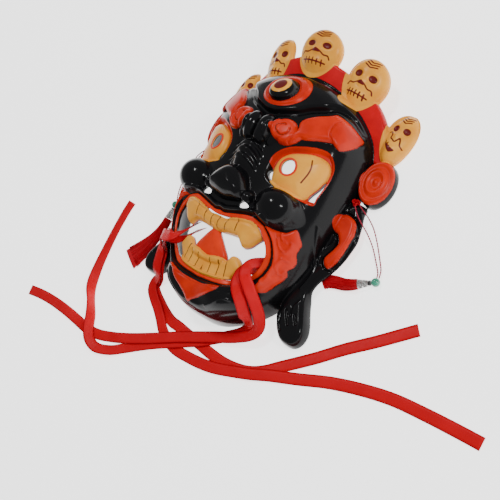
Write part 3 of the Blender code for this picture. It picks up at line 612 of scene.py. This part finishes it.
def on_bridge(u, y):
    """1 on the wrinkled bridge of the nose and 0 away from it."""
    return smooth_step(3.0 * (1.0 - np.abs(y + u * u / 30.0 - 25.0) / 11.0)) * smooth_step((17.0 - u) / 7.0)


def fine_front(x, y, inside):
    """The CAD model's front with the mould's fine lines added."""
    u = np.abs(x)
    front = front_height(x, y, inside)
    for lines, width, height in CARVED_LINES:
        front = front + height * ridge(lines_apart(u, y, lines, width), width)
    wave = y + u * u / 30.0
    return front + 1.1 * np.cos((wave - 24.0) * math.tau / 6.6) * on_bridge(u, y)


def back_height(x, y, wall):
    """A hollow one wall behind the face, read from a grid on which the face is pressed in by a small ball."""
    cell, margin = wall / 2.2, 4
    columns, rows = int(HALF_ACROSS / cell) + 4 + margin, int((DRAWN_CROWN - DRAWN_CHIN) / cell) + 2 * margin
    grid_u, grid_y = np.meshgrid(cell * (np.arange(columns) - margin), DRAWN_CHIN + cell * (np.arange(rows) - margin))
    inside = regions(grid_u, grid_y)
    face = np.where(inside["face"] > 0, face_height(np.abs(grid_u), grid_y, inside), rim_height(grid_u, grid_y))
    behind = face.copy()
    for i in range(-2, 3):
        for j in range(-2, 3):
            away = math.hypot(i, j) * cell
            if away < wall:
                moved = np.roll(np.roll(face, i, axis=0), j, axis=1)
                behind = np.minimum(behind, moved - math.sqrt(wall * wall - away * away))
    column = np.clip(np.abs(x) / cell + margin, 0, columns - 1.001)
    row = np.clip((y - grid_y[0, 0]) / cell, 0, rows - 1.001)
    c, r = column.astype(int), row.astype(int)
    s, t = column - c, row - r
    read = ((behind[r, c] * (1 - s) + behind[r, c + 1] * s) * (1 - t)
            + (behind[r + 1, c] * (1 - s) + behind[r + 1, c + 1] * s) * t)
    return np.maximum(read, rim_height(x, y))

# %% [markdown]
# ## Where the paint goes
#
# Paint is stored on the mesh as distances: each colour has an attribute that tells how far inside its painted
# area a point lies. The material then only asks whether the distance is above zero, which gives an edge that
# stays crisp however near the camera comes, where a colour painted on the points themselves would blur.

# %% Paint as distances
def skull_marks(u, y):
    """How far inside the maroon marks of a skull a point lies."""
    best = np.full(u.shape, -3.0)
    for skull in SKULLS:
        marks = OUTER_SKULL if skull is SKULLS[-1] else INNER_SKULL
        a, b, edge = on_skull(u, y, skull)
        half, tall = skull[1]
        on = edge > 0
        a, b = a[on] * half, b[on] * tall
        (ea, eb), (ra, rb) = marks["eyes"]
        scaled = [[(p * half, q * tall) for p, q in line] for line in marks["thin"]]
        mark = 0.6 - lines_apart(a, b, scaled, 3.0)
        for way in (-1, 1):
            mark = np.maximum(mark, oval(a, b, (way * ea * half, eb * tall), (ra * half, rb * tall)))
        thick = smooth_line([(p * half, q * tall) for p, q in marks["thick"]], True)
        mark = np.maximum(mark, line_distance(a, b, thick, True))
        best[on] = np.maximum(best[on], mark)
    return best


def paint_distances(x, y, inside):
    """How far inside each colour's painted area a point lies, in drawing units."""
    u = np.abs(x)
    edge = np.clip(1.6 - inside["outline"], 0.0, 1.6)
    eye = np.hypot(u, y - 84.0)
    button = 12.4 - np.hypot(u, y - 83.0)
    teeth = np.maximum(inside["upper teeth"], inside["lower teeth"])
    lids = np.minimum(inside["socket"], (u + 0.8 * y - 40.0) / 1.3)
    red = np.maximum.reduce([
        np.minimum(inside["third eye"], -button), lids, inside["lips"], inside["brow"], inside["goatee"],
        inside["flames"], inside["disc"] - 0.9, inside["bean"], inside["tongue"] + 0.4])
    cream = np.maximum.reduce([
        inside["skull"] + 0.3 + edge, np.minimum(8.3 - eye, 4.0), inside["eyeball"], teeth + 0.3])
    maroon = np.maximum.reduce([skull_marks(u, y), 5.4 - eye, 0.5 - lines_apart(u, y, [EYE_ARC], 3.0)])
    return {
        "scarlet": np.minimum(inside["band"] + edge, -inside["face"] - 0.2),
        "red": red,
        "cream": cream,
        "lip": np.minimum(np.maximum(inside["lips"], inside["tongue"] + 0.4), -teeth - 0.3),
        "ring": np.minimum(inside["pupil"] + 1.7, 3.0),
        "maroon": maroon,
        "line": np.maximum(0.38 - lines_apart(u, y, TOOTH_GAPS, 3.0), 0.3 - lines_apart(u, y, [CURL_LINE], 3.0)),
    }

# %% [markdown]
# ## The moulding
#
# A grid primitive gives one flat sheet. Its faces off the plastic are deleted, its ragged border is moved onto
# the outline, and the sheet is cut finer where thin lines are painted. Solidify then doubles it into a front and
# a back skin with a wall between them, and only at the end does each skin get its heights.

# %% Cut the sheet
SHEET_STEP = 1.08


def trim_to_outline(piece, plastic):
    """Leave the faces that are on the plastic, as one sheet, and move its border onto the outline."""
    bm = bmesh.new()
    bm.from_mesh(piece.data)
    middles = np.array([face.calc_center_median()[:2] for face in bm.faces])
    keep = plastic(middles[:, 0], middles[:, 1]) > 0.0
    bmesh.ops.delete(bm, geom=[face for face, kept in zip(bm.faces, keep) if not kept], context="FACES")
    while True:
        pinched = [v for v in bm.verts if sum(edge.is_boundary for edge in v.link_edges) > 2]
        if not pinched:
            break
        faces = {face for v in pinched for face in v.link_faces}
        bmesh.ops.delete(bm, geom=list(faces), context="FACES")
    border = [v for v in bm.verts if v.is_boundary]
    near = {edge.other_vert(v) for v in border for edge in v.link_edges} - set(border)
    probe = 0.1
    for _ in range(4):
        x, y = np.array([v.co[:2] for v in border]).T
        away = plastic(x, y)
        slope_x = (plastic(x + probe, y) - plastic(x - probe, y)) / (2 * probe)
        slope_y = (plastic(x, y + probe) - plastic(x, y - probe)) / (2 * probe)
        steep = np.maximum(slope_x ** 2 + slope_y ** 2, 0.25)
        for v, dx, dy in zip(border, -away * slope_x / steep, -away * slope_y / steep):
            v.co.x += 0.8 * max(-SHEET_STEP, min(SHEET_STEP, dx))
            v.co.y += 0.8 * max(-SHEET_STEP, min(SHEET_STEP, dy))
    for _ in range(3):
        for v in near:
            around = [edge.other_vert(v).co for edge in v.link_edges]
            v.co = 0.4 * v.co + 0.6 * sum(around[1:], around[0].copy()) / len(around)
    bm.to_mesh(piece.data)
    bm.free()


def flat_points(piece):
    co = np.empty(len(piece.data.vertices) * 3)
    piece.data.vertices.foreach_get("co", co)
    return co.reshape(-1, 3)


across, along = 2 * HALF_ACROSS, DRAWN_CROWN - DRAWN_CHIN + 2 * SHEET_STEP
bpy.ops.object.select_all(action="DESELECT")
bpy.ops.mesh.primitive_grid_add(x_subdivisions=2 * round(across / SHEET_STEP / 2),
                                y_subdivisions=round(along / SHEET_STEP), size=1.0)
mask = bpy.context.object
mask.name = "mask_moulding"
only(mask)
bpy.ops.object.mode_set(mode="EDIT")
bpy.ops.transform.resize(value=(across, along, 1.0))
bpy.ops.transform.translate(value=(0.0, MIDDLE, 0.0))
bpy.ops.object.mode_set(mode="OBJECT")
trim_to_outline(mask, lambda x, y: regions(x, y)["plastic"])

centres = np.array([polygon.center[:2] for polygon in mask.data.polygons])
centre_u, centre_y = np.abs(centres[:, 0]), centres[:, 1]
thin_lines = TOOTH_GAPS + [CURL_LINE, EYE_ARC]
close = ((skull_marks(centre_u, centre_y) > -1.0) | (lines_apart(centre_u, centre_y, thin_lines, 3.0) < 1.5)
         | (on_bridge(centre_u, centre_y) > 0.0) | (oval(centre_u, centre_y, *BROW_CURL) > -1.0))
mask.data.polygons.foreach_set("select", close)
bpy.ops.object.mode_set(mode="EDIT")
bpy.ops.mesh.select_mode(type="FACE")
bpy.ops.object.mode_set(mode="OBJECT")
mask.data.polygons.foreach_set("select", close)
bpy.ops.object.mode_set(mode="EDIT")
bpy.ops.mesh.subdivide(number_cuts=1)
bpy.ops.mesh.select_all(action="SELECT")
bpy.ops.mesh.quads_convert_to_tris(quad_method="BEAUTY", ngon_method="BEAUTY")
bpy.ops.object.mode_set(mode="OBJECT")
print("faces in the flat sheet:", len(mask.data.polygons), "of them cut finer:", int(close.sum()))

# %% Double the sheet and raise both skins
solidify = mask.modifiers.new("two skins", "SOLIDIFY")
solidify.thickness, solidify.offset = 1.0, -1.0
keep_modifiers(mask)
flat = flat_points(mask)
is_front = flat[:, 2] > -0.5
x, y = flat[:, 0], flat[:, 1]
inside = regions(x, y)
front = fine_front(x, y, inside)
back = np.minimum(back_height(x, y, WALL / UNIT), front - THINNEST * 0.99)
flat[:, 2] = np.where(is_front, front, back)
mask.data.vertices.foreach_set("co", to_metres(flat).ravel())

bare_back = ~is_front & (inside["face"] > 0)
for name, distance in paint_distances(x, y, inside).items():
    layer = mask.data.attributes.new(name, "FLOAT", "POINT")
    layer.data.foreach_set("value", np.where(bare_back, -6.0, np.clip(distance, -6.0, 6.0)))
only(mask)
bpy.ops.object.shade_smooth()
mask.data.update()
print("triangles in the moulding:", sum(len(p.vertices) - 2 for p in mask.data.polygons))

# %% [markdown]
# ## Gloss plastic and brushed-on paint
#
# The plastic is black and mirror smooth, with a faint orange peel from the mould. The paint is brushed on by
# hand: its edges wander a little, it is a bit duller than the plastic, and its colour is uneven. A noise
# added to each distance makes the edge wander, and a second noise shades the colour.

# %% Paint the moulding
paint = Recipe("painted gloss plastic", roughness=0.12)
paint.set(Specular_IOR_Level=0.15)
wander = (paint.noise(420.0) - 0.5) * 0.5
shade = paint.noise(70.0, 4.0).step(0.3, 0.75)
PAINTS = (  # attribute, colour, colour where the paint is thin
    ("scarlet", (0.62, 0.0, 0.006), (0.45, 0.0, 0.004)),
    ("red", (0.66, 0.022, 0.002), (0.46, 0.012, 0.001)),
    ("lip", (0.8, 0.04, 0.005), (0.62, 0.026, 0.003)),
    ("cream", (0.86, 0.4, 0.045), (0.74, 0.29, 0.025)),
    ("ring", (0.74, 0.035, 0.006), (0.62, 0.026, 0.005)),
    ("maroon", (0.1, 0.006, 0.006), (0.14, 0.012, 0.01)),
    ("line", (0.05, 0.012, 0.008), (0.08, 0.02, 0.01)),
)
colour = (0.0045, 0.0045, 0.0052)
covered = 0.0
for name, thick, thin in PAINTS:
    edge = (paint.attribute(name) + wander * (0.3 if name in ("maroon", "line") else 1.0)).step(-0.16, 0.16)
    colour = paint.mix(edge, colour, paint.mix(shade, thin, thick))
    covered = paint.maths("MAXIMUM", covered, edge)
paint.set(Base_Color=colour, Roughness=0.1 + covered * 0.17 + paint.noise(160.0) * 0.05)
paint.bump(paint.noise(900.0, 2.0), 0.00012, 0.25)
dress(mask, paint.material, "black_plastic", "mask")

# %% [markdown]
# ## Routes of the ribbons and the tassels
#
# What lies free follows the same listed points as the CAD model: each ribbon's middle line with its bank in
# degrees, and for each tassel its two strands, its bead and its silk. A smooth curve goes through the points.

# %% Routes
# What lies free, in drawing units on the table: each ribbon's middle line, with its bank in degrees
RIBBONS = {
    "ribbon_right_a": [
        (58, -41, 12, 0), (51, -47, 23, -5), (45, -52, 35, -8), (42, -58, 44.5, -8),
        (44, -66.5, 48, -14), (49.5, -75, 41, -30), (53.5, -82.5, 31, -34), (57, -90, 22, -34),
        (58, -97, 15.5, -28), (55, -103, 11.5, -15), (49, -108, 8.8, -5), (40.5, -112.5, 6.6, 0),
        (30, -117.3, 4.9, 0), (15, -123.5, 4, 0), (-17, -138, 3.8, 0), (-40, -149.5, 3.5, 0),
        (-56, -157, 2.6, 0), (-68, -162.5, 2.5, 0), (-78, -166.5, 2, 0), (-88, -170, 1, 0),
        (-105, -175, 0.8, 0), (-122, -176.5, 0.9, 0), (-138, -174.5, 1.7, 10), (-152, -173, 2.1, 14),
        (-170, -172, 1.6, 8), (-188, -172, 0.8, 0), (-204, -173, 0.8, 0), (-219, -175, 0.8, 0)],
    "ribbon_right_b": [
        (58, -46, 6, 0), (50, -51, 17, -8), (42, -58, 29, -10), (38.5, -63.5, 42.8, -5),
        (38, -72, 44.8, -10), (41, -80, 43, -28), (45, -88, 35, -40), (46.5, -95.5, 24, -50),
        (44.5, -100, 10.5, -40), (41, -104.3, 3.4, -18), (35, -110, 1.4, 0), (26, -117, 1.5, 0),
        (16, -124, 2, 0), (2, -133, 2.3, 0), (-25, -147, 2.3, 0), (-40, -155, 2.1, 0), (-54, -163, 1.2, 0),
        (-68, -172, 1.2, 3), (-82, -181, 2.2, 12), (-98, -186, 3.4, 20), (-110, -183, 4.2, 28),
        (-117, -175, 5, 42), (-123, -163, 5.4, 62), (-131, -152, 5.6, 80), (-138, -144, 5.3, 68),
        (-143, -136, 4.3, 45), (-148, -122, 2.4, 20), (-151, -105, 1.3, 7), (-153, -82, 0.8, 0),
        (-153, -61, 0.8, 0), (-152, -49, 0.8, 0)],
    "ribbon_left_a": [
        (-51, -42, 16, 0), (-46, -48.5, 27, 5), (-42, -56, 39, 8), (-41.5, -64, 48.6, 4), (-49, -67, 47, 0),
        (-56, -66, 44, 0), (-62.5, -66.5, 38, 5), (-68.5, -69, 29.5, 10), (-73, -73, 21, 10),
        (-74.5, -79, 16, 5), (-73, -85, 15.2, 0), (-71.5, -91, 14.6, 0), (-70, -97, 12, 0),
        (-71, -102.5, 6, 0), (-74.5, -107, 2.7, 0), (-73, -113.5, 2.4, 0), (-66, -119.5, 2.4, 0),
        (-57, -125.5, 2.4, 0), (-48, -132.5, 2.4, 0), (-40, -140, 1.8, 0), (-30, -146, 0.9, 0),
        (-17, -149.5, 0.7, 0), (-2, -149.5, 0.7, 0), (14, -148.3, 1.4, 0), (30, -145.5, 2.2, 0),
        (48, -140, 2.3, 0), (64, -134.5, 2.3, 0), (80, -128, 2.3, 0), (94, -123, 2, 0),
        (106, -118.5, 0.9, 0), (130, -109.5, 0.8, 0), (156, -102.5, 0.8, 0), (181, -98, 0.8, 0),
        (207, -96.5, 0.8, 0), (232, -96, 0.8, 0), (251, -96, 0.8, 0)],
    "ribbon_left_b": [
        (-47, -45, 12, 0), (-43, -51.5, 23, 4), (-40, -58, 34, 8), (-40.5, -63.5, 41, 4),
        (-47, -65.5, 42.8, 0), (-54, -64, 41.5, 0), (-60, -64.5, 36, 5), (-66, -67, 27, 10),
        (-71, -71, 18.5, 10), (-73, -77, 14.4, 5), (-71.5, -83, 13.6, 0), (-70, -89, 13.1, 0),
        (-68.2, -95.5, 11, 0), (-68.8, -100.5, 5, 0), (-71, -105.5, 1.5, 0), (-72.5, -110.5, 0.9, 0),
        (-66, -116, 0.9, 0), (-57, -121, 0.9, 0), (-47, -126, 0.9, 0), (-36, -130, 0.8, 0),
        (-26, -131, 0.7, 0), (-12, -133, 0.7, 0), (4, -135, 0.7, 0), (18, -137, 0.7, 0),
        (32, -138, 0.7, 0), (47, -137, 0.7, 0), (61, -133.5, 0.7, 0), (73, -127, 0.8, 0),
        (83, -119, 0.8, 0), (108, -99, 0.8, 0), (128, -81.5, 0.8, 0), (149, -65, 0.8, 0),
        (174, -44, 0.8, 0)],
}
# Each tassel: its two strands from the ear, the bead with its way to the cap, and the silk after the cap
# with the half width and half height of each section
TASSELS = {
    "right": {
        "strands": [
            [(80.8, 27.4, 7.2), (82.2, 25.2, 13.4), (86, 20.5, 13.6), (91, 15.5, 12.8), (96, 11.5, 10),
             (101, 7.5, 6.3), (108.5, 0, 2.2), (117, -10, 1.3), (122.8, -17, 2), (125.1, -21, 3.7)],
            [(82.6, 28.6, 9.4), (84.6, 27.2, 12.2), (88, 24.5, 12.2), (93, 21.5, 11.5), (98, 18.5, 9.6),
             (104, 13, 6), (110.5, 4.5, 2.6), (117, -4.5, 1.3), (124, -14, 1.8), (127, -21, 3.7)]],
        "bead": (126, -25, 3.75), "toward cap": (-0.88, -0.475, 0.017),
        "silk": [((113, -32, 3.95), 4.3, 3.6), ((108, -34.5, 3.7), 4.9, 3.4), ((102, -36.5, 3.2), 5.3, 2.8),
                 ((95, -37.5, 2.9), 5.6, 2.5), ((88, -39.5, 2.8), 5.9, 2.4), ((84.5, -43, 2.7), 6.2, 2.3)]},
    "left": {
        "strands": [
            [(-80.8, 27.4, 7.2), (-82.2, 25.2, 13.4), (-87, 20.5, 13.4), (-92, 16.5, 11.8), (-98, 11, 8),
             (-102, 4, 3.4), (-103.5, -8, 1.3), (-101, -21, 1.6), (-96.3, -30, 3.7)],
            [(-82.6, 28.6, 9.4), (-84.6, 27.2, 12.2), (-89, 24, 12), (-95, 20, 10), (-101, 14, 6.5),
             (-105.2, 5, 2.6), (-106.3, -7, 1.3), (-103.8, -20, 1.6), (-98.2, -30, 3.7)]],
        "bead": (-97, -34, 3.75), "toward cap": (0.066, -0.9977, 0.017),
        "silk": [((-96, -49, 3.95), 4.3, 3.6), ((-96.5, -55, 3.6), 5, 3.3), ((-98.5, -64, 2.9), 6, 2.6),
                 ((-102.5, -75, 2.4), 8, 2.1), ((-108.5, -87, 2.1), 11, 1.8), ((-116, -99.5, 1.9), 14, 1.6)]},
}


def read_route(points, step):
    """Points at even steps along the smooth curve through a route's own points."""
    fine = smooth_line(points, False, 12)
    run = np.concatenate([[0.0], np.cumsum(np.linalg.norm(np.diff(fine[:, :3], axis=0), axis=1))])
    places = np.linspace(0.0, run[-1], max(round(run[-1] / step), 2) + 1)
    return np.array([np.interp(places, run, column) for column in fine.T]).T

# %% [markdown]
# ## Satin ribbons
#
# A satin ribbon is a thin woven strip with a firm edge on both sides. A strip of quads follows the route, five
# across, so that it can cup a little and its edges can stand apart from the middle. Solidify gives it the
# thickness. Its UV map runs along the ribbon, for the weave to follow.

# %% Make the ribbons
RIBBON_LOOK = 0.0004         # thickness that shows, a little under the CAD model's
CUP = 0.25                   # how much the middle stands over the edges, in drawing units
satin = Recipe("red satin", roughness=0.38)
weave = satin.node("UVMap", out="UV")
thread = satin.node("TexWave", Vector=weave, Scale=1.0, Distortion=0.6,
                    settings={"wave_type": "BANDS", "bands_direction": "X"})
split = satin.node("SeparateXYZ", out="Y", Vector=weave)
selvedge = (satin.maths("ABSOLUTE", split - 0.5)).step(0.4, 0.47)
cloudy = satin.noise(60.0, 2.0)
satin.set(Base_Color=satin.mix(selvedge, satin.mix(cloudy, (0.5, 0.0, 0.005), (0.66, 0.0, 0.009)),
                               (0.38, 0.0, 0.005)),
          Roughness=0.36 + selvedge * 0.2, Specular_IOR_Level=0.12)
satin.bump(thread + cloudy * 0.6, 0.00006, 0.5)


def ribbon_frame(stations):
    """Middle line, direction across and direction up at each station."""
    line, bank = stations[:, :3], np.radians(stations[:, 3:])
    ahead = np.gradient(line, axis=0)
    ahead /= np.linalg.norm(ahead, axis=1, keepdims=True)
    level = np.cross((0.0, 0.0, 1.0), ahead)
    level /= np.linalg.norm(level, axis=1, keepdims=True)
    side = np.cos(bank) * level + np.sin(bank) * np.cross(ahead, level)
    return line, side, np.cross(ahead, side)


ACROSS = (-0.5, -0.28, 0.0, 0.28, 0.5)
for name, route in RIBBONS.items():
    line, side, up = ribbon_frame(read_route(route, 2.0))
    width = RIBBON_WIDTH / UNIT
    points = [place + s * width * share + n * CUP * (0.25 - share * share) * 2
              for place, s, n in zip(line, side, up) for share in ACROSS]
    count = len(ACROSS)
    faces = [(k * count + i, k * count + i + 1, (k + 1) * count + i + 1, (k + 1) * count + i)
             for k in range(len(line) - 1) for i in range(count - 1)]
    ribbon = from_lists("satin_" + name, to_metres(points), faces)
    run = np.concatenate([[0.0], np.cumsum(np.linalg.norm(np.diff(line, axis=0), axis=1))])
    uv = ribbon.data.uv_layers.new(name="along")
    for loop in ribbon.data.loops:
        station, place = divmod(loop.vertex_index, count)
        uv.data[loop.index].uv = (run[station], ACROSS[place] + 0.5)
    thickness = ribbon.modifiers.new("satin", "SOLIDIFY")
    thickness.thickness, thickness.offset = RIBBON_LOOK, 0.0
    keep_modifiers(ribbon)
    bpy.ops.object.shade_smooth()
    dress(ribbon, satin.material, "red_satin", name)
    path = to_metres(line)

# %% [markdown]
# ## Tassels
#
# Each tassel hangs on a doubled crimson cord. A green bead, a dark disc and a silver openwork cap are threaded
# on it, and the cap holds a bundle of silk threads. The cord is twisted from two plies, so its section is a
# figure of eight that turns as it goes. The silk is a full core with loose threads laid over it.

# %% Finishes of the tassels
crimson = Recipe("crimson cord", roughness=0.6)
crimson.set(Base_Color=crimson.mix(crimson.noise(1500.0, 2.0), (0.26, 0.001, 0.02), (0.36, 0.002, 0.03)))
jade = Recipe("green bead", roughness=0.15)
jade.set(Base_Color=jade.mix(jade.noise(380.0, 5.0).step(0.35, 0.7), (0.012, 0.2, 0.11), (0.05, 0.38, 0.24)),
         Coat_Weight=0.5)
tarnish = Recipe("silver filigree", roughness=0.28, metallic=1.0)
tarnish.set(Base_Color=tarnish.mix(tarnish.noise(800.0, 3.0).step(0.4, 0.7), (0.78, 0.78, 0.77), (0.42, 0.41, 0.4)))
onyx = Recipe("dark disc", roughness=0.3)
onyx.set(Base_Color=onyx.mix(onyx.noise(500.0), (0.015, 0.015, 0.017), (0.05, 0.05, 0.05)))
silk = Recipe("red silk", roughness=0.42)
silk.set(Base_Color=silk.mix(silk.noise(700.0, 2.0), (0.36, 0.0, 0.006), (0.6, 0.001, 0.012)), Specular_IOR_Level=0.2)

# %% Make the tassels
def twisted(name, line, radius):
    """A tube of two plies: each ring is a figure of eight, turned a little more than the last."""
    ahead = np.gradient(line, axis=0)
    ahead /= np.linalg.norm(ahead, axis=1, keepdims=True)
    sides = 10
    points, faces = [], []
    run = 0.0
    for k, (place, way) in enumerate(zip(line, ahead)):
        run += np.linalg.norm(line[k] - line[k - 1]) if k else 0.0
        one = np.cross(way, (0.3, 0.2, 1.0))
        one /= np.linalg.norm(one)
        two = np.cross(way, one)
        for i in range(sides):
            turn = math.tau * i / sides
            lobe = radius * (0.8 + 0.2 * math.cos(2 * turn))
            angle = turn + run / radius * 0.9
            points.append(place + lobe * (one * math.cos(angle) + two * math.sin(angle)))
    for k in range(len(line) - 1):
        faces += [(k * sides + i, k * sides + (i + 1) % sides, (k + 1) * sides + (i + 1) % sides, (k + 1) * sides + i)
                  for i in range(sides)]
    faces += [tuple(range(sides))[::-1], tuple(range((len(line) - 1) * sides, len(line) * sides))]
    return outwards(from_lists(name, points, faces))


def make_knot(name, middle):
    """The cord wound into a knot where it comes out of the ear."""
    t = np.linspace(0.0, math.tau * 0.99, 60)
    loop = np.stack([np.sin(t) + 2 * np.sin(2 * t), np.cos(t) - 2 * np.cos(2 * t), -np.sin(3 * t)], axis=1)
    knot = twisted(name, to_metres(np.array(middle) + loop * (1.1, 0.9, 0.9)), 0.0011)
    bpy.ops.object.shade_smooth()
    return knot


def place_along(piece, middle, along):
    """Turn a piece that was made along Z so that it lies along a direction."""
    piece.location = middle
    piece.rotation_euler = Vector(along).to_track_quat("Z", "Y").to_euler()
    return keep_place(piece)


def make_bead(name, middle, along):
    """A ball whose two ends are pushed in, where the cord goes through."""
    bpy.ops.object.select_all(action="DESELECT")
    bpy.ops.mesh.primitive_uv_sphere_add(segments=36, ring_count=24, radius=BEAD / 2)
    bead = bpy.context.object
    bead.name = name
    for v in bead.data.vertices:
        off = math.hypot(v.co.x, v.co.y) / (BEAD / 2)
        if off < 0.3:
            v.co.z *= 1.0 - 0.35 * (1.0 - off / 0.3)
    only(bead)
    bpy.ops.object.shade_smooth()
    return place_along(bead, middle, along)


def make_disc(name, middle, along):
    bpy.ops.object.select_all(action="DESELECT")
    bpy.ops.mesh.primitive_cylinder_add(vertices=32, radius=SPACER / 2, depth=SPACER_THICK)
    disc = bpy.context.object
    disc.name = name
    bevel = disc.modifiers.new("worn edge", "BEVEL")
    bevel.width, bevel.segments = SPACER_THICK * 0.3, 3
    keep_modifiers(disc)
    bpy.ops.object.shade_smooth()
    return place_along(disc, middle, along)


def make_cap(name, middle, along):
    """A bell of silver wire: a cone cut into a net, turned into wires, with a wire ring at its neck, middle and mouth.
    """
    bpy.ops.object.select_all(action="DESELECT")
    bpy.ops.mesh.primitive_cone_add(vertices=14, radius1=SPACER / 2, radius2=CAP / 2 * 0.93, depth=CAP_LENGTH * 0.92,
                                    end_fill_type="NOTHING")
    net = bpy.context.object
    only(net)
    bpy.ops.object.mode_set(mode="EDIT")
    bpy.ops.mesh.select_all(action="SELECT")
    bpy.ops.mesh.subdivide(number_cuts=3)
    bpy.ops.mesh.poke()
    bpy.ops.mesh.tris_convert_to_quads()
    bpy.ops.object.mode_set(mode="OBJECT")
    wires = net.modifiers.new("wires", "WIREFRAME")
    wires.thickness, wires.use_even_offset = 0.00045, False
    keep_modifiers(net)
    parts = [net]
    for share, ring_radius in ((-0.44, SPACER / 2), (0.0, (SPACER + CAP) / 4), (0.44, CAP / 2 * 0.9)):
        bpy.ops.object.select_all(action="DESELECT")
        bpy.ops.mesh.primitive_torus_add(major_radius=ring_radius, minor_radius=0.00038, major_segments=28,
                                         minor_segments=8, location=(0.0, 0.0, share * CAP_LENGTH))
        parts.append(bpy.context.object)
    bpy.ops.object.select_all(action="DESELECT")
    for part in parts:
        part.select_set(True)
    bpy.context.view_layer.objects.active = net
    bpy.ops.object.join()
    net.name = name
    return place_along(net, middle, along)


def make_silk(name, sections):
    """A closed core a little inside the CAD model's silk, and loose threads laid around it."""
    factor = TASSEL_WIDTH / 2 / sections[0][1] / UNIT
    plan = np.array([(*place, wide * factor, high * factor) for place, wide, high in sections])
    plan = smooth_line(plan, False)
    line = plan[:, :3]
    ahead = np.gradient(line, axis=0)
    side = np.stack([-ahead[:, 1], ahead[:, 0], 0 * ahead[:, 0]], axis=1)
    side /= np.linalg.norm(side, axis=1, keepdims=True)
    up = np.array((0.0, 0.0, 1.0))
    points, faces = [], []

    def lay(rings_of_points, sides):
        start = len(points)
        for ring in rings_of_points:
            points.extend(ring)
        for k in range(len(rings_of_points) - 1):
            for i in range(sides):
                a, b = start + k * sides + i, start + k * sides + (i + 1) % sides
                faces.append((a, b, b + sides, a + sides))
        faces.append(tuple(range(start, start + sides))[::-1])
        end = start + (len(rings_of_points) - 1) * sides
        faces.append(tuple(range(end, end + sides)))

    core = 0.86
    lay([[place + core * (s * w * math.cos(t) + up * h * math.sin(t)) for t in np.linspace(0, math.tau, 25)[:-1]]
         for place, s, w, h in zip(line, side, plan[:, 3], plan[:, 4])], 24)
    threads = 150
    chance = np.random.default_rng(7)
    for _ in range(threads):
        turn, drift, length = chance.uniform(0, math.tau), chance.normal(0, 0.25), chance.uniform(0.93, 1.0)
        out, thick, start = chance.uniform(0.84, 0.96), chance.uniform(0.16, 0.26), 0
        stop = max(int(len(line) * length), 3)
        tubes = []
        for k in range(start, stop, 3):
            angle = turn + drift * k / len(line)
            middle = line[k] + out * (side[k] * plan[k, 3] * math.cos(angle) + up * plan[k, 4] * math.sin(angle))
            tubes.append([middle + thick * (side[k] * math.cos(t) + up * math.sin(t))
                          for t in (0.3, 2.4, 4.5)])
        lay(tubes, 3)
    bundle = outwards(from_lists(name, to_metres(points), faces))
    bpy.ops.object.shade_smooth()
    return bundle


for side_name, plan in TASSELS.items():
    along = Vector(plan["toward cap"]).normalized()
    middle = Vector(to_metres(plan["bead"]))
    reach = BEAD / 2 + GAP
    bead = make_bead("ball_" + side_name, middle, along)
    dress(bead, jade.material, "green_bead", "bead_" + side_name)
    disc = make_disc("disc_" + side_name, middle + along * (reach + SPACER_THICK / 2), along)
    dress(disc, onyx.material, "dark_spacer", "spacer_" + side_name)
    reach += SPACER_THICK + GAP
    cap = make_cap("filigree_" + side_name, middle + along * (reach + CAP_LENGTH / 2), along)
    dress(cap, tarnish.material, "silver_cap", "cap_" + side_name)
    bundle = make_silk("silk_" + side_name, plan["silk"])
    dress(bundle, silk.material, "red_silk", "tassel_" + side_name)
    knot = make_knot("knot_" + side_name, (math.copysign(82.3, middle.x), 26.3, 13.2))
    dress(knot, satin.material, "red_silk", f"cord_{side_name}_a")
    for letter, points in zip("ab", plan["strands"]):
        path = to_metres(read_route(points, 0.5))
        strand = twisted(f"strand_{side_name}_{letter}", path, CORD / 2)
        bpy.ops.object.shade_smooth()
        dress(strand, crimson.material, "crimson_cord", f"cord_{side_name}_{letter}")
        [bead, disc, cap, knot] if letter == "a" else [bead]
